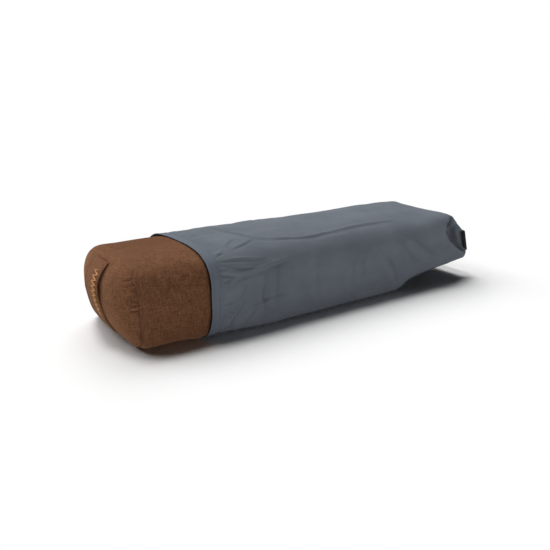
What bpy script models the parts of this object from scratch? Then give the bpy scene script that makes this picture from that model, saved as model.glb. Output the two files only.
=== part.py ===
# A rectangular yoga bolster, its carrying bag drawn part of the way off.
# Metres, +Z up. +X runs from the handle end of the bolster to the closed end of the bag.
# The origin is on the surface it lies on, below the middle of the bolster.

import math

import bmesh
import bpy
from mathutils import Matrix, Vector

# the bolster and its zipped cover
BOLSTER_LENGTH = 0.600      # between the flat parts of the two ends
BOLSTER_WIDTH = 0.237
BOLSTER_HEIGHT = 0.147
TOP_FULLNESS = 3.44         # power of the section's upper curve, crowned
BASE_FULLNESS = 9.0         # power of its lower curve, almost square
BASE_FLAT = 1.01            # how far the lower curve is pressed flat
END_ROUNDING = 0.035        # length over which each end draws in
END_ROUND_POWER = 2.6
END_CROWN = 0.013           # how far the middle of an end panel swells out
SEAM_RING = 0.888           # where the end seam runs, as a share of the full section
SEAM_STEP = 0.004           # half of the seam's width, as a share of the full section
COVER_WALL = 0.0012
SEW_GAP = 0.0003            # left between pieces that are sewn or laid together

# the filling
LINER_WALL = 0.0008
LINER_SLIT_LENGTH = 0.200
LINER_SLIT_WIDTH = 0.003
BATTING_THICKNESS = 0.012
BATTING_RIM_RING = 0.93     # share of the full section where the end pads meet the wrapped layer

# the handle strap on the near end
STRAP_WIDTH = 0.060
STRAP_THICKNESS = 0.0024
STRAP_LIFT = 0.0075         # finger room behind the strap
STRAP_REACH = 0.86          # share of the half height that the strap spans
STRAP_STEPS = 16

# the zip along the hidden long side
ZIP_START = 0.058           # from the near end to the slider's parked middle
ZIP_TRAVEL = 0.430
ZIP_SLOT_HEIGHT = 0.008
TAPE_WIDTH = 0.012
TAPE_THICKNESS = 0.0006
TAPE_TAIL = 0.008           # tape beyond the stops
COIL_WIDTH = 0.0020
COIL_THICKNESS = 0.0011
COIL_SPACING = 0.0014       # between the two halves of the coil
STOP_LENGTH = 0.002
SLIDER_LENGTH = 0.012
SLIDER_WIDTH = 0.009
SLIDER_PLATE = 0.0009
SLIDER_POST_WIDTH = 0.0008
SLIDER_POST_LENGTH = 0.004
BRIDGE_LENGTH = 0.0044
BRIDGE_WIDTH = 0.0016
BRIDGE_HOLE = 0.0024
BRIDGE_BEAM = 0.0008
TAB_LENGTH = 0.024
TAB_WIDTH = 0.0066
TAB_THICKNESS = 0.0009
TAB_EYE_LENGTH = 0.0026
TAB_EYE_WIDTH = 0.0028
RUN_GAP = 0.0003            # running clearance of the slider and its tab

# the carrying bag
BAG_WALL = 0.0008
HEM_WALL = 0.0012
HEM_LENGTH = 0.020
MOUTH_SETBACK = 0.138       # from the near end of the bolster to the mouth of the bag
BAG_SIDE_ROOM = 0.0052
BAG_TOP_ROOM = 0.0007
SLACK_LENGTH = 0.183        # empty cloth beyond the far end of the bolster
SLACK_SECTIONS = (          # share of the slack, rise of the underside, fall of the top
    (-0.130, 0.000, 0.000),
    (0.000, 0.007, 0.000),
    (0.140, 0.017, 0.000),
    (0.340, 0.027, 0.000),
    (0.800, 0.033, 0.003),
    (0.920, 0.036, 0.022),
    (1.000, 0.038, 0.040),
)
END_NARROWING = 0.006       # each side of the bag draws in by this at its end
END_DENT = 0.012            # how far the end panel of the bag has fallen in
END_FLAT_SHARE = 0.96       # share of the end panel inside its flat sewn border
GRAB_WIDTH = 0.046
GRAB_THICKNESS = 0.0020
GRAB_LIFT = 0.018           # room behind the middle of the grab handle
GRAB_REACH = 0.90           # share of the end's half width that it spans
GRAB_STEPS = 14

# how finely the soft forms are drawn
SECTION_POINTS = 40
CORNER_CLUSTER = 0.12       # draws the section's points towards its corners
END_PANEL_RINGS = (0.35, 0.62, 0.80)
ROUNDING_RINGS = (0.94, 0.98, 1.0)
BAG_PANEL_RINGS = (0.40, 0.72)
TAB_END_STEPS = 8
SHARP_ANGLE = math.radians(50)      # edges that turn further than this stay crisp
SLOPE_NUDGE = 0.01          # share of a path over which its slope is read
CUT_MARGIN = 0.003          # how far a cutter stands clear of the wall that it cuts

# places that follow from the sizes above
COVER_BASE = HEM_WALL + SEW_GAP
NEAR_END = -BOLSTER_LENGTH / 2
FAR_END = BOLSTER_LENGTH / 2
MOUTH_X = NEAR_END + MOUTH_SETBACK
WRAP_START_X = MOUTH_X + HEM_LENGTH + SEW_GAP
MID_HEIGHT = COVER_BASE + BOLSTER_HEIGHT / 2
COVER_SIDE = BOLSTER_WIDTH / 2
BAG_HALF_WIDTH = COVER_SIDE + BAG_SIDE_ROOM + BAG_WALL
BAG_TOP = COVER_BASE + BOLSTER_HEIGHT + BAG_TOP_ROOM + BAG_WALL
SLIDER_X = NEAR_END + ZIP_START
TAPE_OUTER = COVER_SIDE - COVER_WALL - SEW_GAP
TAPE_INNER = TAPE_OUTER - TAPE_THICKNESS
COIL_INNER = TAPE_OUTER + SEW_GAP
COIL_OUTER = COIL_INNER + COIL_THICKNESS
COIL_EDGE = COIL_THICKNESS / 3      # rounding along the coil
STOP_EDGE = COIL_THICKNESS / 5
PLATE_INNER = COVER_SIDE + RUN_GAP
PLATE_OUTER = PLATE_INNER + SLIDER_PLATE
BACK_PLATE_OUTER = TAPE_INNER - RUN_GAP
BACK_PLATE_INNER = BACK_PLATE_OUTER - SLIDER_PLATE
ZIP_ROOM = COVER_SIDE - COVER_WALL - BACK_PLATE_INNER
TAB_AXIS_Y = PLATE_OUTER + RUN_GAP + TAB_THICKNESS / 2

COLOURS = {
    "canvas": ((0.115, 0.052, 0.030), 0.92, 0.0),
    "cotton": ((0.72, 0.68, 0.60), 0.95, 0.0),
    "batting": ((0.85, 0.84, 0.80), 1.0, 0.0),
    "foam": ((0.80, 0.74, 0.50), 0.95, 0.0),
    "tape": ((0.095, 0.045, 0.028), 0.85, 0.0),
    "coil": ((0.080, 0.040, 0.026), 0.45, 0.0),
    "zip_metal": ((0.42, 0.34, 0.22), 0.35, 1.0),
    "bag_cloth": ((0.088, 0.105, 0.128), 0.62, 0.0),
    "webbing": ((0.012, 0.012, 0.014), 0.75, 0.0),
}


def clear_scene():
    for thing in list(bpy.data.objects):
        bpy.data.objects.remove(thing, do_unlink=True)


def new_collection(name):
    group = bpy.data.collections.new(name)
    bpy.context.scene.collection.children.link(group)
    return group


def make_materials():
    made = {}
    for name, (colour, roughness, metallic) in COLOURS.items():
        material = bpy.data.materials.new(name)
        material.use_nodes = True
        shader = material.node_tree.nodes["Principled BSDF"]
        shader.inputs["Base Color"].default_value = (*colour, 1.0)
        shader.inputs["Roughness"].default_value = roughness
        shader.inputs["Metallic"].default_value = metallic
        made[name] = material
    return made


def add_object(name, data, group, material=None):
    thing = bpy.data.objects.new(name, data)
    group.objects.link(thing)
    if material:
        data.materials.append(material)
    return thing


def round_share(ring):
    # how much of the end rounding is used up where the section has this share of its size
    return 1 - (1 - ring ** END_ROUND_POWER) ** (1 / END_ROUND_POWER)


def section_ring(x, middle_y, half_width, low, high):
    # one closed section across the length: crowned above, pressed flat below
    points = []
    middle = (low + high) / 2
    half_height = (high - low) / 2
    for step in range(SECTION_POINTS):
        turn = 2 * math.pi * step / SECTION_POINTS
        angle = turn + CORNER_CLUSTER * math.sin(4 * turn)
        across, up = math.cos(angle), math.sin(angle)
        power = TOP_FULLNESS if up > 0 else BASE_FULLNESS
        reach = (abs(across) ** power + abs(up) ** power) ** (-1 / power)
        rise = reach * up
        if up < 0:
            rise = max(-1.0, rise * BASE_FLAT)
        points.append(Vector((x, middle_y + half_width * reach * across, middle + half_height * rise)))
    return points


class Pad:
    # a box-like cushion form: its length, its section, and the height that it lies at

    def __init__(self, length, width, low, high, middle_y=0.0):
        self.length = length
        self.width = width
        self.low = low
        self.high = high
        self.middle_y = middle_y

    def inset(self, by, side_room=0.0):
        # the form that fits inside at this distance, with spare room on the zip side
        return Pad(
            self.length - 2 * by,
            self.width - 2 * by - side_room,
            self.low + by,
            self.high - by,
            self.middle_y - side_room / 2,
        )

    def middle(self):
        return (self.low + self.high) / 2

    def end_x(self, end, ring, across=0.0, up=0.0):
        # x of the surface on an end, where across and up are shares of the half section
        used = round_share(ring)
        crown = END_CROWN * (1 - across ** 2) * (1 - up ** 2) * (1 - used)
        return end * (self.length / 2 - END_ROUNDING * used + crown)

    def ring(self, end, ring):
        # the section at one end, shrunk to this share of its full size
        half_width, half_height = self.width / 2, (self.high - self.low) / 2
        if ring == 0:
            return [Vector((self.end_x(end, 0), self.middle_y, self.middle()))]
        middle = self.middle()
        points = section_ring(
            0.0, self.middle_y, half_width * ring, middle - half_height * ring, middle + half_height * ring
        )
        for point in points:
            across = (point.y - self.middle_y) / half_width
            up = (point.z - middle) / half_height
            point.x = self.end_x(end, ring, across, up)
        return points


def join_rows(mesh, first, second):
    count = max(len(first), len(second))
    for step in range(count):
        after = (step + 1) % count
        corners = []
        for row, index in ((first, step), (first, after), (second, after), (second, step)):
            corner = row[index % len(row)]
            if corner not in corners:
                corners.append(corner)
        mesh.faces.new(corners)


def loft(name, rings, group, material, closed=False):
    # a skin through sections that run from -X to +X, where a single point closes an end
    mesh = bmesh.new()
    rows = [[mesh.verts.new(point) for point in ring] for ring in rings]
    for first, second in zip(rows, rows[1:]):
        join_rows(mesh, first, second)
    if closed:
        join_rows(mesh, rows[-1], rows[0])
    data = bpy.data.meshes.new(name)
    mesh.to_mesh(data)
    mesh.free()
    data.shade_smooth()
    data.set_sharp_from_angle(angle=SHARP_ANGLE)
    return add_object(name, data, group, material)


def give_wall(thing, thickness, offset=-1.0):
    wall = thing.modifiers.new("wall", "SOLIDIFY")
    wall.thickness = thickness
    wall.offset = offset
    wall.use_even_offset = True


def boolean(thing, other, operation):
    cut = thing.modifiers.new(operation.lower(), "BOOLEAN")
    cut.operation = operation
    cut.solver = "EXACT"
    cut.object = other


def make_box(name, low, high, group, material=None, bevel=0.0):
    low, high = Vector(low), Vector(high)
    bpy.ops.mesh.primitive_cube_add(size=1.0, location=(low + high) / 2)
    thing = bpy.context.object
    thing.name = name
    thing.data.name = name
    thing.scale = high - low
    bpy.ops.object.transform_apply(location=False, rotation=False, scale=True)
    for owner in list(thing.users_collection):
        owner.objects.unlink(thing)
    group.objects.link(thing)
    if material:
        thing.data.materials.append(material)
    if bevel:
        edge = thing.modifiers.new("edges", "BEVEL")
        edge.width = bevel
        edge.segments = 2
    return thing


def make_cutter(name, low, high, cutters):
    thing = make_box(name, low, high, cutters)
    thing.hide_render = True
    thing.display_type = "WIRE"
    return thing


def ribbon(name, path, edge, thickness, group, material):
    # a flat band: its mid surface follows the path and is as wide as the edge vector
    mesh = bmesh.new()
    sides = [[mesh.verts.new(point + edge * share) for point in path] for share in (-0.5, 0.5)]
    for step in range(len(path) - 1):
        mesh.faces.new((sides[0][step], sides[0][step + 1], sides[1][step + 1], sides[1][step]))
    data = bpy.data.meshes.new(name)
    mesh.to_mesh(data)
    mesh.free()
    band = add_object(name, data, group, material)
    give_wall(band, thickness, offset=0.0)
    return band


def lifted_path(surface_point, steps, thickness, lift):
    # a path along a surface, sewn down at both ends and standing off between them
    path = []
    for step in range(steps + 1):
        along = -1 + 2 * step / steps
        here = surface_point(along)
        before, after = surface_point(along - SLOPE_NUDGE), surface_point(along + SLOPE_NUDGE)
        run = (after - before).normalized()
        outward = Vector((-run.z, 0, run.x)) if abs(run.z) > abs(run.y) else Vector((run.y, -run.x, 0))
        stand = SEW_GAP + thickness / 2 + lift * math.cos(math.pi / 2 * along)
        path.append(here + outward * stand)
    return path


def cover_pad():
    return Pad(BOLSTER_LENGTH, BOLSTER_WIDTH, COVER_BASE, COVER_BASE + BOLSTER_HEIGHT)


def liner_pad():
    return cover_pad().inset(COVER_WALL + SEW_GAP, ZIP_ROOM)


def make_cover(group, cutters, canvas):
    pad = cover_pad()
    panel_rings = [0.0, *END_PANEL_RINGS, SEAM_RING - SEAM_STEP]
    wrap_rings = [SEAM_RING + SEAM_STEP, *ROUNDING_RINGS]

    near_panel = loft("cover_near_end_panel", [pad.ring(-1, ring) for ring in panel_rings], group, canvas)
    far_panel = loft(
        "cover_far_end_panel", [pad.ring(1, ring) for ring in reversed(panel_rings)], group, canvas
    )
    wrap = loft(
        "cover_wrap",
        [pad.ring(-1, ring) for ring in wrap_rings] + [pad.ring(1, ring) for ring in reversed(wrap_rings)],
        group,
        canvas,
    )
    for piece in (near_panel, far_panel, wrap):
        give_wall(piece, COVER_WALL)

    half_slot = ZIP_SLOT_HEIGHT / 2
    slot = make_cutter(
        "zip_slot_cutter",
        (zip_low_x(), COVER_SIDE - COVER_WALL - CUT_MARGIN, MID_HEIGHT - half_slot),
        (zip_high_x(), COVER_SIDE + CUT_MARGIN, MID_HEIGHT + half_slot),
        cutters,
    )
    boolean(wrap, slot, "DIFFERENCE")


def zip_low_x():
    # the near end of the slot and of the coil's stops
    return SLIDER_X - SLIDER_LENGTH / 2 - RUN_GAP - STOP_LENGTH


def zip_high_x():
    return SLIDER_X + ZIP_TRAVEL + SLIDER_LENGTH / 2 + RUN_GAP + STOP_LENGTH


def make_strap(group, canvas):
    pad = cover_pad()
    half_height = BOLSTER_HEIGHT / 2

    def on_panel(along):
        ring = abs(along) * STRAP_REACH
        return Vector((pad.end_x(-1, ring, 0.0, ring), 0.0, MID_HEIGHT + along * STRAP_REACH * half_height))

    path = lifted_path(on_panel, STRAP_STEPS, STRAP_THICKNESS, STRAP_LIFT)
    ribbon("handle_strap", path, Vector((0, STRAP_WIDTH, 0)), STRAP_THICKNESS, group, canvas)


def make_filling(group, cutters, materials):
    liner = liner_pad()
    all_rings = [0.0, *END_PANEL_RINGS, BATTING_RIM_RING, 1.0]
    bag = loft(
        "inner_liner",
        [liner.ring(-1, ring) for ring in all_rings] + [liner.ring(1, ring) for ring in reversed(all_rings)],
        group,
        materials["cotton"],
    )
    give_wall(bag, LINER_WALL)
    slit_y = liner.middle_y - liner.width / 2
    slit = make_cutter(
        "liner_slit_cutter",
        (-LINER_SLIT_LENGTH / 2, slit_y - CUT_MARGIN, MID_HEIGHT - LINER_SLIT_WIDTH / 2),
        (LINER_SLIT_LENGTH / 2, slit_y + LINER_WALL + CUT_MARGIN, MID_HEIGHT + LINER_SLIT_WIDTH / 2),
        cutters,
    )
    boolean(bag, slit, "DIFFERENCE")

    make_batting(liner.inset(LINER_WALL + SEW_GAP), group, materials)


def make_batting(outer, group, materials):
    inner = outer.inset(BATTING_THICKNESS)
    sleeve_rings = [BATTING_RIM_RING + SEAM_STEP, 1.0]
    pad_rings = [0.0, *END_PANEL_RINGS, BATTING_RIM_RING - SEAM_STEP]

    def whole(pad, rings):
        return [pad.ring(-1, ring) for ring in rings] + [pad.ring(1, ring) for ring in reversed(rings)]

    skin = whole(outer, sleeve_rings)
    lining = whole(inner, sleeve_rings)
    loft("batting_wrap", skin + lining[::-1], group, materials["batting"], closed=True)

    skin = [outer.ring(-1, ring) for ring in pad_rings]
    lining = [inner.ring(-1, ring) for ring in reversed(pad_rings)]
    loft("batting_near_pad", skin + lining, group, materials["batting"])

    lining = [inner.ring(1, ring) for ring in pad_rings]
    skin = [outer.ring(1, ring) for ring in reversed(pad_rings)]
    loft("batting_far_pad", lining + skin, group, materials["batting"])

    core = inner.inset(SEW_GAP)
    loft("foam_core", whole(core, [0.0, *END_PANEL_RINGS, BATTING_RIM_RING, 1.0]), group, materials["foam"])


def make_zip(group, materials):
    low_x, high_x = zip_low_x(), zip_high_x()
    half_space = COIL_SPACING / 2
    for name, side in (("upper", 1), ("lower", -1)):
        tape_edges = sorted((MID_HEIGHT + side * half_space, MID_HEIGHT + side * (half_space + TAPE_WIDTH)))
        coil_edges = sorted((MID_HEIGHT + side * half_space, MID_HEIGHT + side * (half_space + COIL_WIDTH)))
        make_box(
            f"zip_tape_{name}",
            (low_x - TAPE_TAIL, TAPE_INNER, tape_edges[0]),
            (high_x + TAPE_TAIL, TAPE_OUTER, tape_edges[1]),
            group,
            materials["tape"],
        )
        make_box(
            f"zip_coil_{name}",
            (low_x + STOP_LENGTH + SEW_GAP, COIL_INNER, coil_edges[0]),
            (high_x - STOP_LENGTH - SEW_GAP, COIL_OUTER, coil_edges[1]),
            group,
            materials["coil"],
            COIL_EDGE,
        )
        make_box(
            f"zip_top_stop_{name}",
            (low_x + SEW_GAP, COIL_INNER, coil_edges[0]),
            (low_x + STOP_LENGTH, COIL_OUTER, coil_edges[1]),
            group,
            materials["zip_metal"],
            STOP_EDGE,
        )
    make_box(
        "zip_bottom_stop",
        (high_x - STOP_LENGTH, COIL_INNER, MID_HEIGHT - half_space - COIL_WIDTH),
        (high_x - SEW_GAP, COIL_OUTER, MID_HEIGHT + half_space + COIL_WIDTH),
        group,
        materials["zip_metal"],
        STOP_EDGE,
    )


def make_slider(group, cutters, metal):
    # two plates that straddle the coil, joined by a post at the front, under a bridge for the tab
    half_length, half_width = SLIDER_LENGTH / 2, SLIDER_WIDTH / 2
    slider = make_box(
        "zip_slider",
        (SLIDER_X - half_length, PLATE_INNER, MID_HEIGHT - half_width),
        (SLIDER_X + half_length, PLATE_OUTER, MID_HEIGHT + half_width),
        group,
        metal,
    )
    bite = SLIDER_PLATE / 2
    post = make_cutter(
        "slider_post_form",
        (SLIDER_X - half_length, BACK_PLATE_OUTER - bite, MID_HEIGHT - SLIDER_POST_WIDTH / 2),
        (SLIDER_X - half_length + SLIDER_POST_LENGTH, PLATE_INNER + bite, MID_HEIGHT + SLIDER_POST_WIDTH / 2),
        cutters,
    )
    back = make_cutter(
        "slider_back_form",
        (SLIDER_X - half_length, BACK_PLATE_INNER, MID_HEIGHT - half_width),
        (SLIDER_X + half_length, BACK_PLATE_OUTER, MID_HEIGHT + half_width),
        cutters,
    )
    beam_inner = PLATE_OUTER + TAB_THICKNESS + 2 * RUN_GAP
    bridge = make_cutter(
        "slider_bridge_form",
        (SLIDER_X - BRIDGE_LENGTH / 2, PLATE_OUTER - bite, MID_HEIGHT - BRIDGE_WIDTH / 2),
        (SLIDER_X + BRIDGE_LENGTH / 2, beam_inner + BRIDGE_BEAM, MID_HEIGHT + BRIDGE_WIDTH / 2),
        cutters,
    )
    eye = make_cutter(
        "slider_bridge_hole",
        (SLIDER_X - BRIDGE_HOLE / 2, PLATE_OUTER, MID_HEIGHT - BRIDGE_WIDTH),
        (SLIDER_X + BRIDGE_HOLE / 2, beam_inner, MID_HEIGHT + BRIDGE_WIDTH),
        cutters,
    )
    boolean(slider, post, "UNION")
    boolean(slider, back, "UNION")
    boolean(slider, bridge, "UNION")
    boolean(slider, eye, "DIFFERENCE")
    return slider


def make_tab(group, metal):
    # a flat tab whose eye goes round the foot of the bridge; its local origin is the hinge axis
    half_bar = TAB_THICKNESS / 2
    half_width = TAB_WIDTH / 2
    tip = TAB_LENGTH - half_width
    outline = [(-half_bar, -half_width), (tip, -half_width)]
    for step in range(1, TAB_END_STEPS):
        angle = -math.pi / 2 + math.pi * step / TAB_END_STEPS
        outline.append((tip + half_width * math.cos(angle), half_width * math.sin(angle)))
    outline += [(tip, half_width), (-half_bar, half_width)]
    hole = [
        (half_bar, -TAB_EYE_WIDTH / 2),
        (half_bar + TAB_EYE_LENGTH, -TAB_EYE_WIDTH / 2),
        (half_bar + TAB_EYE_LENGTH, TAB_EYE_WIDTH / 2),
        (half_bar, TAB_EYE_WIDTH / 2),
    ]
    shape = bpy.data.curves.new("zip_pull_tab", "CURVE")
    shape.dimensions = "2D"
    shape.fill_mode = "BOTH"
    shape.extrude = TAB_THICKNESS / 2
    for points in (outline, hole):
        line = shape.splines.new("POLY")
        line.points.add(len(points) - 1)
        line.use_cyclic_u = True
        for spot, (along, across) in zip(line.points, points):
            spot.co = (along, across, 0.0, 1.0)
    tab = add_object("zip_pull_tab", shape, group, metal)
    tab.location = (SLIDER_X, TAB_AXIS_Y, MID_HEIGHT)
    tab.rotation_euler = (math.pi / 2, 0.0, 0.0)
    return tab


def bag_section(x, rise=0.0, fall=0.0, narrowing=0.0):
    return section_ring(x, 0.0, BAG_HALF_WIDTH - narrowing, rise, BAG_TOP - fall)


def slack_section(share, rise, fall):
    # the cloth beyond the bolster, where its underside lifts and its sides draw in
    narrowing = END_NARROWING * max(0.0, share) ** 2
    return bag_section(FAR_END + SLACK_LENGTH * share, rise, fall, narrowing)


def make_bag(group, materials):
    cloth = materials["bag_cloth"]
    hem = loft(
        "bag_mouth_hem", [bag_section(MOUTH_X), bag_section(MOUTH_X + HEM_LENGTH)], group, cloth
    )
    give_wall(hem, HEM_WALL)

    rings = [bag_section(WRAP_START_X)]
    rings += [slack_section(*section) for section in SLACK_SECTIONS]
    wrap = loft("bag_wrap", rings, group, cloth)
    give_wall(wrap, BAG_WALL)

    panel = loft("bag_end_panel", bag_end_rings(), group, cloth)
    give_wall(panel, BAG_WALL)
    return [hem, wrap, panel]


def bag_end_dent(share):
    # how far the end panel has fallen in at this share of its half size
    inside = min(1.0, share / END_FLAT_SHARE)
    return END_DENT * (1 - inside ** 2)


def bag_end_x():
    return FAR_END + SLACK_LENGTH + SEW_GAP + BAG_WALL


def bag_end_size():
    # half the width, half the height and the middle height of the bag's closed end
    rise, fall = SLACK_SECTIONS[-1][1:]
    return BAG_HALF_WIDTH - END_NARROWING, (BAG_TOP - fall - rise) / 2, (BAG_TOP - fall + rise) / 2


def bag_end_rings():
    half_width, half_height, middle = bag_end_size()
    rings = []
    for ring in (1.0, END_FLAT_SHARE, *reversed(BAG_PANEL_RINGS)):
        x = bag_end_x() - bag_end_dent(ring)
        low, high = middle - half_height * ring, middle + half_height * ring
        rings.append(section_ring(x, 0.0, half_width * ring, low, high))
    rings.append([Vector((bag_end_x() - END_DENT, 0.0, middle))])
    return rings


def make_grab_handle(group, webbing):
    half_width, half_height, middle = bag_end_size()
    up = GRAB_WIDTH / 2 / half_height

    def on_panel(along):
        # the edges of the webbing rest on the panel, which is deepest in its middle
        across = along * GRAB_REACH
        ring = (abs(across) ** TOP_FULLNESS + up ** TOP_FULLNESS) ** (1 / TOP_FULLNESS)
        return Vector((bag_end_x() - bag_end_dent(ring), across * half_width, middle))

    path = lifted_path(on_panel, GRAB_STEPS, GRAB_THICKNESS, GRAB_LIFT)
    return ribbon("bag_grab_handle", path, Vector((0, 0, GRAB_WIDTH)), GRAB_THICKNESS, group, webbing)


def carry(pieces, name, place, group, parent=None):
    # an empty on a joint's axis, which carries the pieces that move with it
    carrier = bpy.data.objects.new(name, None)
    group.objects.link(carrier)
    carrier.empty_display_size = SLIDER_LENGTH
    carrier.location = place
    if parent:
        carrier.parent = parent
        carrier.matrix_parent_inverse = Matrix.Translation(parent.location).inverted()
    for piece in pieces:
        piece.parent = carrier
        piece.matrix_parent_inverse = Matrix.Translation(place).inverted()
    return carrier


def main():
    clear_scene()
    group = new_collection("yoga_bolster")
    cutters = new_collection("cutters")
    materials = make_materials()

    make_cover(group, cutters, materials["canvas"])
    make_strap(group, materials["canvas"])
    make_filling(group, cutters, materials)
    make_zip(group, materials)

    slider = make_slider(group, cutters, materials["zip_metal"])
    tab = make_tab(group, materials["zip_metal"])
    carriage = carry([slider], "zip_carriage", (SLIDER_X, COIL_OUTER, MID_HEIGHT), group)
    carry([tab], "zip_tab_axis", (SLIDER_X, TAB_AXIS_Y, MID_HEIGHT), group, carriage)

    bag = make_bag(group, materials)
    bag.append(make_grab_handle(group, materials["webbing"]))
    carry(bag, "bag_slide", (MOUTH_X, 0.0, 0.0), group)


main()
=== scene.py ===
# The looks of a yoga bolster drawn part of the way out of its carrying bag.
# Metres, +Z up, +X from the handle end of the bolster to the closed end of the bag.

import math
import random

import bmesh
import bpy
import numpy as np
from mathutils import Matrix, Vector, noise


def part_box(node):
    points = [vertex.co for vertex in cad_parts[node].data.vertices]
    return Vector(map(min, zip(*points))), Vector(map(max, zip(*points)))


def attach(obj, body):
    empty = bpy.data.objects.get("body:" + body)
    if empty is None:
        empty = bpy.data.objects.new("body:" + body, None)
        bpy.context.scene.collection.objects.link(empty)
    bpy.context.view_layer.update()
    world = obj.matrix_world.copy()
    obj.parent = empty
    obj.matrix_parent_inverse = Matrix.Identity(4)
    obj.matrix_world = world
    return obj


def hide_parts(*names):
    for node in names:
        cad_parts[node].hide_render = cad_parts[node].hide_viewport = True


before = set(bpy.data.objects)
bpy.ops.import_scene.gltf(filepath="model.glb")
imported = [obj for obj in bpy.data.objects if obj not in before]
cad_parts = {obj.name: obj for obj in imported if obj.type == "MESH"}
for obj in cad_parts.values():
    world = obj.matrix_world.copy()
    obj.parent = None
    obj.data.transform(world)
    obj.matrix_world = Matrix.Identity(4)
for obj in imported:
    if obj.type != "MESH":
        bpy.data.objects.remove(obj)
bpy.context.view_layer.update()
print("frame loaded:", len(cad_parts), "nodes")

# Camera and studio

camera = {
    "place": (-0.6201, -0.975, 0.4198),
    "turn": 34.57,          # degrees from +Y towards +X
    "tilt": 17.45,          # degrees below level
    "lens": 40.25,
    "sensor": 36.0,
    "farthest": 100.0,
}

studio = {
    "floorSize": 60.0,
    "floorSeen": (1.0, 1.0, 1.0),
    "floorLight": (0.68, 0.68, 0.68),   # what it throws back on the object
    "sky": 0.012,           # light from all round
    # lamps: strength, turn, softness
    "lamps": {
        "overhead": (1.08, (-17, -3, 0), 18),
        "behind right": (1.30, (-33, 18, 0), 40),
        "behind left": (1.40, (-33, -28, 0), 44),
        "low front": (1.40, (90, 0, -4), 3),    # level, so that they hardly reach the floor
        "low left": (0.87, (90, 0, -66), 3),
    },
}


def addObject(name, data):
    made = bpy.data.objects.new(name, data)
    bpy.context.scene.collection.objects.link(made)
    return made


def makeCamera():
    data = bpy.data.cameras.new("camera")
    data.lens = camera["lens"]
    data.sensor_width = camera["sensor"]
    data.clip_end = camera["farthest"]
    viewer = addObject("camera", data)
    viewer.location = camera["place"]
    viewer.rotation_euler = (math.radians(90 - camera["tilt"]), 0, math.radians(-camera["turn"]))
    bpy.context.scene.camera = viewer


def addSun(name, strength, turn, softness):
    data = bpy.data.lights.new(name, "SUN")
    data.energy = strength
    data.angle = math.radians(softness)
    addObject(name, data).rotation_euler = [math.radians(value) for value in turn]


# Shader maths

class Wire:
    # one socket of a material, so that shader maths reads as an expression
    def __init__(self, tree, socket=None):
        self.tree = tree
        self.socket = socket

    def node(self, kind, settings=None, sockets=None, out=0):
        # any node: its settings are set first, then its sockets by name or number
        made = self.tree.nodes.new(kind)
        for name, value in (settings or {}).items():
            setattr(made, name, value)
        for name, value in (sockets or {}).items():
            if isinstance(value, Wire):
                self.tree.links.new(value.socket, made.inputs[name])
            else:
                made.inputs[name].default_value = value
        return Wire(self.tree, made.outputs[out])

    def output(self, which):
        # another output of the same node
        return Wire(self.tree, self.socket.node.outputs[which])

    def maths(self, operation, *values):
        return self.node("ShaderNodeMath", {"operation": operation}, dict(enumerate(values)))

    def __add__(self, other):
        return self.maths("ADD", self, other)

    def __sub__(self, other):
        return self.maths("SUBTRACT", self, other)

    def __rsub__(self, other):
        return self.maths("SUBTRACT", other, self)

    def __mul__(self, other):
        return self.maths("MULTIPLY", self, other)

    __radd__ = __add__
    __rmul__ = __mul__

    def sine(self):
        return self.maths("SINE", self)

    def between(self, low, high):
        # 0 below low, 1 above high, and smooth between them
        return self.node(
            "ShaderNodeMapRange", {"interpolation_type": "SMOOTHSTEP"}, {0: self, 1: low, 2: high}
        )

    def tint(self, first, second):
        # the first colour where this is 0 and the second where it is 1
        colours = {0: self, 6: (*first, 1), 7: (*second, 1)}
        return self.node("ShaderNodeMix", {"data_type": "RGBA"}, colours, 2)


def newMaterial(name, fixed):
    # a material whose even values stand on the shader's own sockets
    material = bpy.data.materials.new(name)
    material.use_nodes = True
    for socket, value in fixed.items():
        material.node_tree.nodes["Principled BSDF"].inputs[socket].default_value = value
    return material, Wire(material.node_tree)


def fed(material, **sockets):
    # Base_Color=wire feeds the shader's socket Base Color
    shader = material.node_tree.nodes["Principled BSDF"]
    for name, value in sockets.items():
        value.tree.links.new(value.socket, shader.inputs[name.replace("_", " ")])
    return material


def clothSpace(wire):
    # where a point lies on the flat cloth, in metres along and around
    place = wire.node("ShaderNodeUVMap", {"uv_map": "cloth"})
    along = wire.node("ShaderNodeSeparateXYZ", {}, {0: place})
    return place, along, along.output(1)


def weaving(wire, thread):
    # a place on the flat cloth, and the height of the crossing threads there
    place, along, around = clothSpace(wire)
    pitch = math.pi / thread
    return place, (along * pitch).sine() * (around * pitch).sine()


def solidSpace(wire):
    return wire.node("ShaderNodeTexCoord", {}, {}, 3)


def stretched(place, scale):
    return place.node("ShaderNodeMapping", {}, {"Vector": place, "Scale": scale})


def cloudy(place, scale, detail=2.0, roughness=0.5):
    sockets = {"Vector": place, "Scale": scale, "Detail": detail, "Roughness": roughness}
    return place.node("ShaderNodeTexNoise", {}, sockets)


def bumped(height, depth, strength):
    return height.node("ShaderNodeBump", {}, {"Height": height, "Distance": depth, "Strength": strength})


def darker(colour, share):
    return tuple(value * share for value in colour)


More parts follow.
